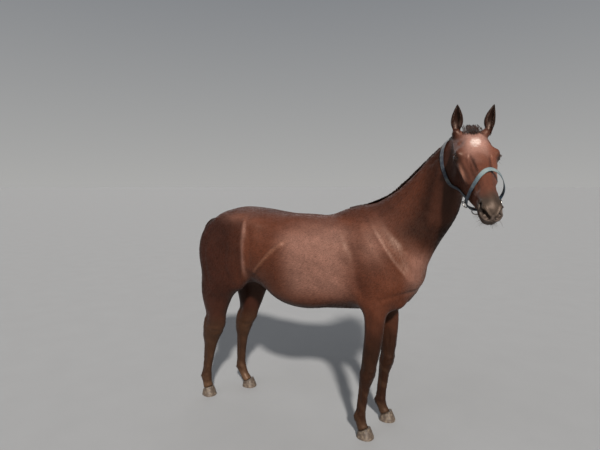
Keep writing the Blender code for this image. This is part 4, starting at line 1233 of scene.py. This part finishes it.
def tail(material, count):
    """Hair from the dock in one narrow fall, thick right through."""
    dice = np.random.default_rng(43)
    line = dense(TAIL, TAIL_PLACES)
    begin = dice.uniform(0.0, 0.42, count) ** 1.1
    reach = np.clip(begin + dice.uniform(0.42, 0.75, count), 0, dice.uniform(0.86, 1.0, count))
    share = begin[:, None] + (reach - begin)[:, None] * np.linspace(0, 1, TAIL_STEPS)
    index = share * (TAIL_PLACES - 1)
    x, y, z, deep, wide = (np.interp(index, np.arange(TAIL_PLACES), column) for column in line.T)
    middle = np.stack([x, y, z], -1)
    turn = dice.uniform(0, 2 * np.pi, (count, 1)) + dice.normal(0, 0.25, (count, 1)) * share
    out = 0.3 + 0.7 * np.sqrt(dice.uniform(0, 1, (count, 1)))
    out = out * (0.55 + 0.45 * ramp(np.linspace(0, 1, TAIL_STEPS), 0.0, 0.15))
    along = unit(np.gradient(line[:, :3], axis=0))
    normal = unit(np.cross(along, (0.0, 1.0, 0.0)))
    normal = np.stack([np.interp(index, np.arange(TAIL_PLACES), column) for column in normal.T], -1)
    loose = 0.006 + 0.01 * (dice.random((count, 1)) < 0.15)
    swing = share * dice.uniform(6, 11, (count, 1)) + dice.uniform(0, 6.28, (count, 1))
    sway = loose * np.sin(swing) * share
    spoke = np.cos(turn)[..., None] * np.array((0.0, 1.0, 0.0)) * wide[..., None]
    spoke = spoke + np.sin(turn)[..., None] * normal * deep[..., None]
    paths = middle + spoke * out[..., None] + sway[..., None] * np.array((0.6, 0.8, 0.0))
    grown("tail_hair", zip(paths, unit(spoke)), TAIL_LOCK, dice, material, ["tail"])


def whiskers(material):
    """Long feelers on lips and chin, and a few by the eyes."""
    dice = np.random.default_rng(44)
    roots = []
    for side in (-1, 1):
        for _ in range(46):
            u, v = dice.uniform(0.52, 0.612), dice.uniform(-0.16, -0.075)
            spot = on_head(u, v, side * dice.uniform(0.004, 0.046))
            roots.append((spot, 0.018 + 0.02 * dice.random(), 0.35))
        for _ in range(7):
            spot = on_head(EYE[0] + dice.normal(0, 0.012), EYE[1] - 0.03 * dice.random(), side * 0.105)
            roots.append((spot, 0.016 + 0.016 * dice.random(), 0.4))
    strands = []
    for guess, length, droop in roots:
        spot, normal = skin_at(guess)
        way = unit(normal + dice.normal(0, 0.25, 3))
        share = np.linspace(0, 1, 6)[:, None]
        path = spot - normal * 0.001 + way * length * share - UP * length * droop * share**2
        strands.append((path, np.tile(unit(np.cross(way, UP) + 1e-4), (6, 1))))
    grown("whiskers", strands, WHISKER, dice, material, warm=0.6, deep=0.8)


def lashes(material):
    """Lashes along the upper lids."""
    dice = np.random.default_rng(45)
    strands = []
    for side in (-1, 1):
        middle, corner, brow, out = eye_axes(side)
        for _ in range(70):
            along = dice.uniform(-0.8, 0.75) * SLIT_HALF
            up = lid_edge(along, True) + LID_EDGE
            ball = np.sqrt(EYE_RADIUS**2 - along**2 - up**2)
            root = middle + corner * along + brow * up + out * (ball + 0.0008)
            length = dice.uniform(0.009, 0.016)
            share = np.linspace(0, 1, 6)[:, None]
            way = unit(out + corner * along * 18 - brow * 0.35 + dice.normal(0, 0.08, 3))
            path = root + way * length * share - brow * 0.004 * share + brow * 0.006 * share**2
            strands.append((path, np.tile(brow, (6, 1))))
    grown("lashes", strands, LASH, dice, material, deep=0.8)


def ear_hair(material):
    """Fine hair across the openings of the ears."""
    dice = np.random.default_rng(46)
    paths, facings, shades = [], [], []
    for ear_place in EARS:
        root, axis, back, broad = ear_axes(*ear_place)
        rows = np.array(EAR)
        for _ in range(230):
            share = dice.uniform(0.14, 0.86)
            half, deep = (np.interp(share, rows[:, 0], rows[:, k]) for k in (1, 2))
            edge = dice.choice((-1, 1))
            angle = np.radians(dice.uniform(78, 112)) * edge
            middle, thin = ear_core(root, axis, back, share, half)
            spot = middle + (broad * half * np.sin(angle) + back * deep * np.cos(angle)) * thin
            way = unit(axis * 0.9 - broad * edge * 0.75 - back * dice.uniform(-0.1, 0.35))
            length = dice.uniform(0.4, 1.0) * min(half * 0.9, 0.022)
            steps = np.linspace(0, 1, 5)[:, None]
            paths.append(spot + way * length * steps + axis * length * 0.3 * steps**2)
            facings.append(np.tile(-back, (5, 1)))
            shades.append(np.tile(np.array((0.07, 0.037, 0.026)) * dice.uniform(0.5, 1.2), (5, 1)))
    widths = taper(len(paths), 5, EAR_LOCK, dice)
    paths, facings, shades = (np.array(rows) for rows in (paths, facings, shades))
    locks("ear_hair", paths, widths, facings, shades, material, "chestnut_coat")


coarse = hair_material()
mane(coarse, 1700)
forelock(coarse, 200)
tail(coarse, 1100)
whiskers(coarse)
lashes(coarse)
ear_hair(coarse)

# -------- coat tufts

TUFTS = 190_000
BODY_TUFT, LEG_TUFT, FACE_TUFT, MUZZLE_TUFT = 0.017, 0.009, 0.0065, 0.003
TUFT_SLIMNESS = 0.17
TUFT_ROOT = 0.0004  # how deep it starts in the skin
TUFT_LEAN = 0.45  # how far its shading normals lean aside
TUFT_SHADES = (0.82, 0.82, 1.0, 1.12)  # left and right root, ridge, point


def tuft_length(points, normals):
    """How long the coat is at places on the skin."""
    z, u = points[:, 2], head_place(points)[0]
    head, _, legs = regions(points)
    length = np.full(len(points), BODY_TUFT)
    length += (LEG_TUFT - length) * legs
    length += (FACE_TUFT - length) * head
    length += (MUZZLE_TUFT - length) * head * ramp(u, 0.44, 0.53)
    length += (0.0055 - length) * ramp(ear_share(points), 0.0, 0.15)
    for side in (-1, 1):
        from_eye = distance(points, at_eye(side))
        length *= 0.35 + 0.65 * ramp(from_eye, 0.03, 0.06)
    behind_fetlock = ramp(z, 0.22, 0.17) * ramp(z, 0.09, 0.12) * ramp(normals[:, 0], -0.3, -0.8)
    length *= 1 + 1.6 * behind_fetlock
    length *= 1 + 0.8 * ramp(z, 0.11, 0.08)
    return length


def bare(points):
    """Where no hair grows: between the lids and in the nostrils."""
    found = np.zeros(len(points), bool)
    for side in (-1, 1):
        middle, corner, brow, _ = eye_axes(side)
        off = points - middle
        along, up = off @ corner, off @ brow
        near = distance(points, middle) < 0.04
        span = 1 - (along / (SLIT_HALF + 0.001)) ** 2
        found |= near & (np.abs(up) < lid_edge(along, up > 0) + 0.0012) & (span > 0)
        found |= off_nostril(points, side) < 0.011
    return found


def sown(count):
    """Roots spread over the skin, thickest where the hair is shortest, and their normals."""
    dice = np.random.default_rng(51)
    skin.data.calc_loop_triangles()
    corners = pulled(skin.data.loop_triangles, "vertices", 3, np.int32)
    a, b, c = skin_points[corners].transpose(1, 0, 2)
    area = np.linalg.norm(np.cross(b - a, c - a), axis=1) / 2
    middle = (a + b + c) / 3
    length = tuft_length(middle, skin_normals[corners[:, 0]])
    weight = area * (BODY_TUFT / length) ** 1.25 * ~bare(middle) * (middle[:, 2] > 0.04)
    picked = dice.choice(len(area), count, p=weight / weight.sum())
    share = dice.dirichlet((1, 1, 1), count)
    roots = np.einsum("ij,ijk->ik", share, skin_points[corners[picked]])
    normals = unit(np.einsum("ij,ijk->ik", share, skin_normals[corners[picked]]))
    return roots, normals, dice


def tufts(name, roots, normals, dice, material, slot_name):
    """Slim pointed tufts that lie along the coat, joined in one mesh."""
    count = len(roots)
    way = lie(roots, normals)
    aside = np.cross(normals, way)
    way = unit(way + aside * dice.normal(0, 0.16, (count, 1)))
    aside = np.cross(normals, way)
    length = (tuft_length(roots, normals) * dice.uniform(0.7, 1.25, count))[:, None]
    half = length * TUFT_SLIMNESS * dice.uniform(0.35, 0.65, (count, 1))
    proud = np.abs(dice.normal(0, 1.0, (count, 1)))
    tip = length * (0.02 + 0.035 * proud)
    base = roots - normals * TUFT_ROOT
    left, right = base + aside * half, base - aside * half
    ridge = base + way * length * 0.35 + normals * (half * 0.34 + tip * 0.5 + TUFT_ROOT)
    point = base + way * length + normals * tip
    points = np.stack([left, right, ridge, point], 1).reshape(-1, 3)
    first = np.arange(count)[:, None] * 4
    faces = np.array(((0, 2, 3), (1, 3, 2), (0, 3, 1), (0, 1, 2)))
    mesh = mesh_of(name, points + ORIGIN, triangles=(first[:, :, None] + faces[None]).reshape(-1, 3))
    shade = coat_colour(roots, normals) * (1 + 0.13 * dice.normal(0, 1, (count, 1))).clip(0.55, 1.5)
    paint(mesh, np.repeat(shade, 4, axis=0) * np.tile(TUFT_SHADES, count)[:, None])
    paint(mesh, np.repeat(np.stack(regions(roots), 1), 4, axis=0), "region")
    add_map(mesh, roots, ((-0.5, 0.0), (0.5, 0.0), (0.0, 0.4), (0.0, 1.0)))
    dressed(new_object(name, mesh), material, slot_name)
    lean = aside * TUFT_LEAN
    leant = [normals + lean, normals - lean, normals, normals + way * 0.1]
    mesh.normals_split_custom_set_from_vertices(unit(np.stack(leant, 1).reshape(-1, 3)).tolist())


tuft_coat = coat_material("coat tufts", 0.25, 0.16)
roots, normals, dice = sown(TUFTS // (1))
head, neck, _ = regions(roots)
on_head_side = (head > 0.5) | (ear_share(roots) > 0)
on_neck = (neck > 0.5) & ~on_head_side
ahead = on_head_side | on_neck
low = (roots[:, 2] < 0.78) & ~ahead
for name, chosen, slot_name in (
    ("tufts_head", on_head_side, "chestnut_coat"),
    ("tufts_neck", on_neck, "chestnut_coat"),
    ("tufts_legs", low, "dark_legs"),
    ("tufts_right", ~ahead & ~low & (roots[:, 1] < 0), "chestnut_coat"),
    ("tufts_left", ~ahead & ~low & (roots[:, 1] >= 0), "chestnut_coat"),
):
    tufts(name, roots[chosen], normals[chosen], dice, tuft_coat, slot_name)

# -------- hooves

# Each hoof's place in x and y, and how far it is turned in degrees
HOOVES = (
    ("fore_R", 0.108, -0.135, -8.0),
    ("fore_L", 0.172, 0.155, 6.0),
    ("hind_R", -1.212, -0.12, -18.0),
    ("hind_L", -1.012, 0.157, 8.0),
)
HOOF_LENGTH, HOOF_WIDTH, CORONET_RADIUS = 0.118, 0.108, 0.041
TOE_HEIGHT, HEEL_HEIGHT = 0.074, 0.036
HOOF_SIDES, HOOF_ROWS = 96, 54
HORN = np.array((0.085, 0.062, 0.046))


def hoof_material():
    """Dusty horn with fine lines down it; its rings are shaped and painted."""
    material, tree, shader = new_material("hoof horn", Roughness=0.55, Specular_IOR_Level=0.4)
    place = own_place(tree)
    lines, dust = streaks(tree, place, LEG_TURN, 0.06, 0.0011), noise(tree, place, 60.0, 6.0)
    coat = darkened(tree, painted(tree), (0.62, 0.58, 0.55), lines, 0.3, 0.7)
    coat = blended(tree, ranged(tree, dust, 0.48, 0.7, 0.0, 0.7), coat, (0.19, 0.145, 0.1, 1.0))
    surfaced(tree, shader, coat, ranged(tree, dust, 0.4, 0.7, 0.42, 0.75), lines, 0.35, 0.0007)
    return material


def hoof(name, x, y, turned, material):
    angle = np.linspace(0, 2 * np.pi, HOOF_SIDES, endpoint=False)
    ahead = np.sign(np.cos(angle)) * np.abs(np.cos(angle)) ** 0.85
    side = np.sign(np.sin(angle)) * np.abs(np.sin(angle)) ** 0.9
    heel = np.clip(-np.cos(angle) - 0.55, 0, 1) * ramp(np.abs(np.sin(angle)), 0.5, 0.2)
    sole = np.column_stack([HOOF_LENGTH / 2 * ahead + 0.03 * heel, HOOF_WIDTH / 2 * side])
    crown = np.column_stack([CORONET_RADIUS * ahead - 0.012 + 0.01 * heel, CORONET_RADIUS * side])
    turn = np.radians(turned)
    spin = np.array(((np.cos(turn), np.sin(turn)), (-np.sin(turn), np.cos(turn))))
    rings, shades = [], []
    rows = [(0.0, 0.8), (0.0, 0.962), (0.012, 0.975), (0.045, 0.988)]
    rows += [(up, 1.0) for up in np.linspace(0.075, 0.97, HOOF_ROWS)] + [(0.99, 0.975), (1.0, 0.9)]
    for up, keep in rows:
        ridge = 1 + (0.006 * np.sin(up * 47) + 0.005 * np.sin(up * 21 + 1)) * ramp(up, 0.03, 0.12)
        band = 1 + 0.01 * bell((up - 0.93) / 0.05)
        flat = (sole * (1 - up) + crown * up) * keep * ridge * band
        height = up * (HEEL_HEIGHT + (flat[:, 0] + 0.052) / 0.082 * (TOE_HEIGHT - HEEL_HEIGHT))
        rings.append(np.column_stack([flat @ spin + (x, y), height]))
        shade = HORN * (1.15 - 0.35 * up) * (1 + 0.16 * np.sin(up * 47 + 0.6))
        shades.append(np.tile(shade * (1 - 0.15 * (keep < 0.96)), (HOOF_SIDES, 1)))
    points, quads, triangles = tube(rings)
    mesh = mesh_of("hoof", points + ORIGIN, quads, triangles)
    paint(mesh, np.vstack([*shades, shades[0][0], shades[-1][0]]))
    dressed(new_object("horn_" + name, mesh), material, "hoof_horn", ["hoof_" + name])


horn = hoof_material()
for hoof_place in HOOVES:
    hoof(*hoof_place, horn)

# -------- halter

# Loose round the nose: u, v and w on the head
NOSEBAND = (
    (0.35, 0.006, 0.01),
    (0.346, 0.0, 0.038),
    (0.352, -0.018, 0.07),
    (0.362, -0.06, 0.096),
    (0.373, -0.11, 0.114),
    (0.384, -0.165, 0.112),
    (0.398, -0.22, 0.07),
    (0.406, -0.244, 0.0),
    (0.402, -0.222, -0.046),
    (0.404, -0.176, -0.06),
    (0.416, -0.12, -0.064),
    (0.42, -0.072, -0.062),
    (0.404, -0.026, -0.046),
    (0.374, 0.0, -0.02),
)
# From the left ring over the neck to the right ring
CROWN = (
    (0.378, -0.196, 0.062),
    (0.315, -0.226, 0.07),
    (0.24, -0.256, 0.08),
    (0.15, -0.262, 0.094),
    (0.07, -0.22, 0.104),
    (0.01, -0.14, 0.104),
    (-0.03, -0.07, 0.08),
    (-0.055, -0.045, 0.0),
    (-0.03, -0.07, -0.08),
    (0.02, -0.11, -0.125),
    (0.075, -0.15, -0.145),
    (0.13, -0.177, -0.14),
    (0.175, -0.207, -0.122),
    (0.204, -0.24, -0.104),
    (0.24, -0.256, -0.082),
    (0.315, -0.226, -0.066),
    (0.385, -0.196, -0.058),
)
RINGS = (("R", 0.402, -0.196, -0.058), ("L", 0.39, -0.192, 0.096), ("chin", 0.408, -0.244, 0.0))
STRAP_WIDTH, STRAP_THICK, STRAP_CLEAR = 0.024, 0.0035, 0.0018
STRAP_PLACES = 260
HEM = 0.8  # of the half width, where the stitches run
WEBBING = np.array((0.024, 0.05, 0.078))
# Painted light on the strap's upward faces
PAINTED_TOP_LIGHT = np.array((0.13, 0.155, 0.13))  # added where the strap faces up
RING_RADIUS, RING_WIRE = 0.019, 0.0032


def webbing_material():
    """Faded woven nylon: ribs across it and threads along it."""
    material, tree, shader = new_material(
        "halter webbing", Roughness=0.66, Specular_IOR_Level=0.28, Sheen_Weight=0.12, Sheen_Roughness=0.5
    )
    parts = node(tree, "ShaderNodeSeparateColor", {"Color": painted(tree, "weave")}).outputs

    def wave(socket, per_metre):
        turns = {1: per_metre * 2 * np.pi}
        turned = node(tree, "ShaderNodeMath", {0: socket}, turns, operation="MULTIPLY")
        return node(tree, "ShaderNodeMath", {0: turned.outputs[0]}, operation="SINE").outputs[0]

    crossing = {0: wave(parts[0], 420.0), 1: wave(parts[1], 520.0)}
    cloth = node(tree, "ShaderNodeMath", crossing, operation="MULTIPLY").outputs[0]
    fade = noise(tree, own_place(tree), 26.0, 5.0)
    coat = darkened(tree, painted(tree), (0.6, 0.62, 0.66), cloth, -0.8, 0.8)
    coat = blended(tree, ranged(tree, fade, 0.45, 0.72, 0.0, 0.45), coat, (0.25, 0.27, 0.24, 1.0))
    surfaced(tree, shader, coat, ranged(tree, fade, 0.4, 0.7, 0.55, 0.75), cloth, 0.6, 0.0005)
    return material


def metal_material():
    """Worn steel with dull spots."""
    material, tree, shader = new_material("halter metal", Metallic=1.0, Roughness=0.3)
    worn = noise(tree, own_place(tree), 240.0, 6.0)
    bright, dull = (0.5, 0.48, 0.45, 1.0), (0.3, 0.27, 0.24, 1.0)
    shade = blended(tree, ranged(tree, worn, 0.4, 0.7), bright, dull)
    surfaced(tree, shader, shade, ranged(tree, worn, 0.35, 0.7, 0.22, 0.5), worn, 0.15, 0.0003)
    return material


def eased(path, closed):
    """The path with its kinks eased."""
    ahead = np.roll(path, -1, axis=0) if closed else np.vstack([path[1:], path[-1:]])
    behind = np.roll(path, 1, axis=0) if closed else np.vstack([path[:1], path[:-1]])
    return (ahead + path * 2 + behind) / 4


def nearest(spot):
    """The skin's place and normal next to a spot, and how far off the coat it is."""
    on_skin, normal = skin_at(spot)
    return on_skin, normal, (spot - on_skin) @ normal - COAT_DEPTH


def over_skin(path, closed):
    """The path moved clear of the coat; an open one is let down onto it."""
    for _ in range(4):
        moved = []
        for spot in eased(path, closed):
            on_skin, normal, off = nearest(spot)
            laid = on_skin + normal * (COAT_DEPTH + STRAP_CLEAR)
            moved.append(laid if off < STRAP_CLEAR or not closed else spot)
        path = np.array(moved)
    return path


def strap_facing(spot):
    """Away from the flesh where the strap lies on it, away from the head's middle elsewhere."""
    down = (spot - POLL) @ DOWN_FACE / HEAD_SCALE
    free = unit(spot - on_head(down, -0.12, 0.0))
    _, normal, off = nearest(spot)
    return normal + (free - normal) * np.clip(off / STRAP_WIDTH, 0, 1)


def ring_edge(ring_place, end):
    """Where a strap that comes from its end meets a ring."""
    spot = on_head(*ring_place[1:])
    out = strap_facing(spot)
    spot = spot + unit(out) * (STRAP_THICK + RING_WIRE)
    return spot + unit(end - spot) * RING_RADIUS


def strap_line(rows, closed):
    """A strap's path clear of the coat, the way it runs and the way it faces."""
    path = np.array([on_head(*place) for place in dense(rows, 30 if closed else 34, closed)])
    path = over_skin(path, closed)
    facing = np.array([strap_facing(spot) for spot in path])
    facing = eased(eased(facing, closed), closed)
    if not closed:
        path = np.vstack([ring_edge(RINGS[1], path[0]), path, ring_edge(RINGS[0], path[-1])])
        facing = np.vstack([facing[:1], facing, facing[-1:]])
    path, facing = dense(path, STRAP_PLACES, closed), dense(facing, STRAP_PLACES, closed)
    if closed:
        along = unit(np.roll(path, -1, axis=0) - np.roll(path, 1, axis=0))
    else:
        along = unit(np.gradient(path, axis=0))
    return path, along, unit(facing - along * np.sum(facing * along, 1)[:, None])


def strap_section():
    """Places round a strap, aside and out: a flat inside, rounded edges, stitched hems outside."""
    half = STRAP_WIDTH / 2
    flat = np.linspace(-1, 1, 13)
    hem = 1 - 0.28 * bell((np.abs(flat) - HEM) / 0.05)
    inside = [(side * half, 0.0) for side in flat]
    outside = [(side * half * 0.99, STRAP_THICK * lift) for side, lift in zip(flat[::-1], hem[::-1])]
    edge = half * 1.02, STRAP_THICK * 0.5
    return [*inside, edge, *outside, (-edge[0], edge[1])]


def strap(name, node_name, rows, closed, tone, material):
    """A flat woven band whose inside faces the head."""
    path, along, out = strap_line(rows, closed)
    across = np.cross(along, out)
    section = strap_section()
    run = np.cumsum(np.r_[0, np.linalg.norm(np.diff(path, axis=0), axis=1)])
    rings = np.stack([path + across * aside + out * lift for aside, lift in section], 1)
    points, quads, triangles = tube(list(rings), closed)
    mesh = mesh_of(name, points + ORIGIN, quads, triangles)
    extra = len(points) - rings.shape[0] * rings.shape[1]
    weave = [(far, aside, 0.0) for far in run for aside, _ in section] + [(0, 0, 0)] * extra
    paint(mesh, np.array(weave), "weave")
    # Painted light where the strap faces up; the tone darkens a strap as painted shade
    top = ramp(out[:, 2], 0.0, 0.7)[:, None, None]
    shade = (WEBBING + top * PAINTED_TOP_LIGHT) * tone
    half = STRAP_WIDTH / 2
    stitched = np.array([1 - 0.25 * (abs(abs(aside) / half - HEM) < 0.06) for aside, _ in section])
    shade = np.broadcast_to(shade * stitched[None, :, None], (*rings.shape[:2], 3)).reshape(-1, 3)
    paint(mesh, np.vstack([shade, np.tile(shade[:1], (extra, 1))]))
    dressed(new_object(name, mesh), material, "halter_webbing", [node_name])


def halter_ring(tag, u, v, w, material):
    """A ring standing just off the outside of the noseband."""
    spot = on_head(u, v, w)
    out = strap_facing(spot)
    out = unit(out - DOWN_FACE * (out @ DOWN_FACE))
    spot = spot + out * (STRAP_THICK + RING_WIRE + 0.0012)
    along = np.cross(DOWN_FACE, out)
    rings = []
    for turn in np.linspace(0, 2 * np.pi, 56, endpoint=False):
        spoke = DOWN_FACE * np.cos(turn) + along * np.sin(turn)
        wire = np.linspace(0, 2 * np.pi, 18, endpoint=False)[:, None]
        rings.append(spot + spoke * RING_RADIUS + (spoke * np.cos(wire) + out * np.sin(wire)) * RING_WIRE)
    points, quads, _ = tube(rings, closed=True)
    mesh = mesh_of("ring", points + ORIGIN, quads)
    dressed(new_object("ring_" + tag, mesh), material, "halter_metal", ["halter_ring_" + tag])


webbing, steel = webbing_material(), metal_material()
strap("noseband", "halter_noseband", NOSEBAND, True, (1.0, 1.0, 1.0), webbing)
# The crown strap is painted darker and more purple, as painted shade
strap("crown_strap", "halter_crown", CROWN, False, (0.75, 0.55, 0.6), webbing)
for ring_place in RINGS:
    halter_ring(*ring_place, steel)

# -------- camera, floor, light

# Where the camera stands, its heading and pitch, and its lens in mm
CAMERA_AT = (1.038, -2.868, 1.675)
CAMERA_HEADING = np.radians(117.47)
CAMERA_PITCH = np.radians(-5.09)
CAMERA_LENS = 26.88


def camera():
    lens = bpy.data.cameras.new("camera")
    lens.sensor_width = 36.0
    lens.lens = CAMERA_LENS
    lens.clip_start = 0.05
    made = new_object("camera", lens)
    made.location = ORIGIN + CAMERA_AT
    made.rotation_euler = (np.pi / 2 + CAMERA_PITCH, 0.0, CAMERA_HEADING - np.pi / 2)
    bpy.context.scene.camera = made


def sun(name, heading, height, angle, strength, colour):
    """Soft parallel light from a heading and height, in degrees."""
    lamp = bpy.data.lights.new(name, "SUN")
    lamp.angle = np.radians(angle)
    lamp.energy = strength
    lamp.color = colour
    made = new_object(name, lamp)
    made.rotation_euler = (np.radians(90 - height), 0.0, np.radians(heading + 90))


camera()
sun("key", -56, 34, 4, 5.9, (1.0, 0.965, 0.92))
sun("sky", -122, 44, 50, 0.5, (0.92, 0.95, 1.0))
sun("fill", 132, 38, 60, 0.8, (0.96, 0.98, 1.0))
world = bpy.data.worlds.new("studio")
bpy.context.scene.world = world
world.use_nodes = True
sky = world.node_tree
way = node(sky, "ShaderNodeTexCoord").outputs["Generated"]
up = node(sky, "ShaderNodeSeparateXYZ", {"Vector": way}).outputs[2]
above = ranged(sky, up, 0.0, 0.55)
tone = blended(sky, above, (0.404, 0.402, 0.394, 1.0), (0.15, 0.165, 0.19, 1.0))
sky.links.new(tone, sky.nodes["Background"].inputs["Color"])
bpy.context.scene.view_settings.view_transform = "Standard"

FLOOR_SHADE = 0.261
bpy.ops.mesh.primitive_circle_add(vertices=96, radius=400.0, fill_type="NGON")
floor = bpy.context.object
floor.name = "floor"
material, tree, shader = new_material("floor", Roughness=0.9, Specular_IOR_Level=0.1)
dark, light = ((FLOOR_SHADE * part,) * 3 + (1,) for part in (0.96, 1.04))
shade = blended(tree, noise(tree, own_place(tree), 3.0, 6.0), dark, light)
tree.links.new(shade, shader.inputs["Base Color"])
floor.data.materials.append(material)
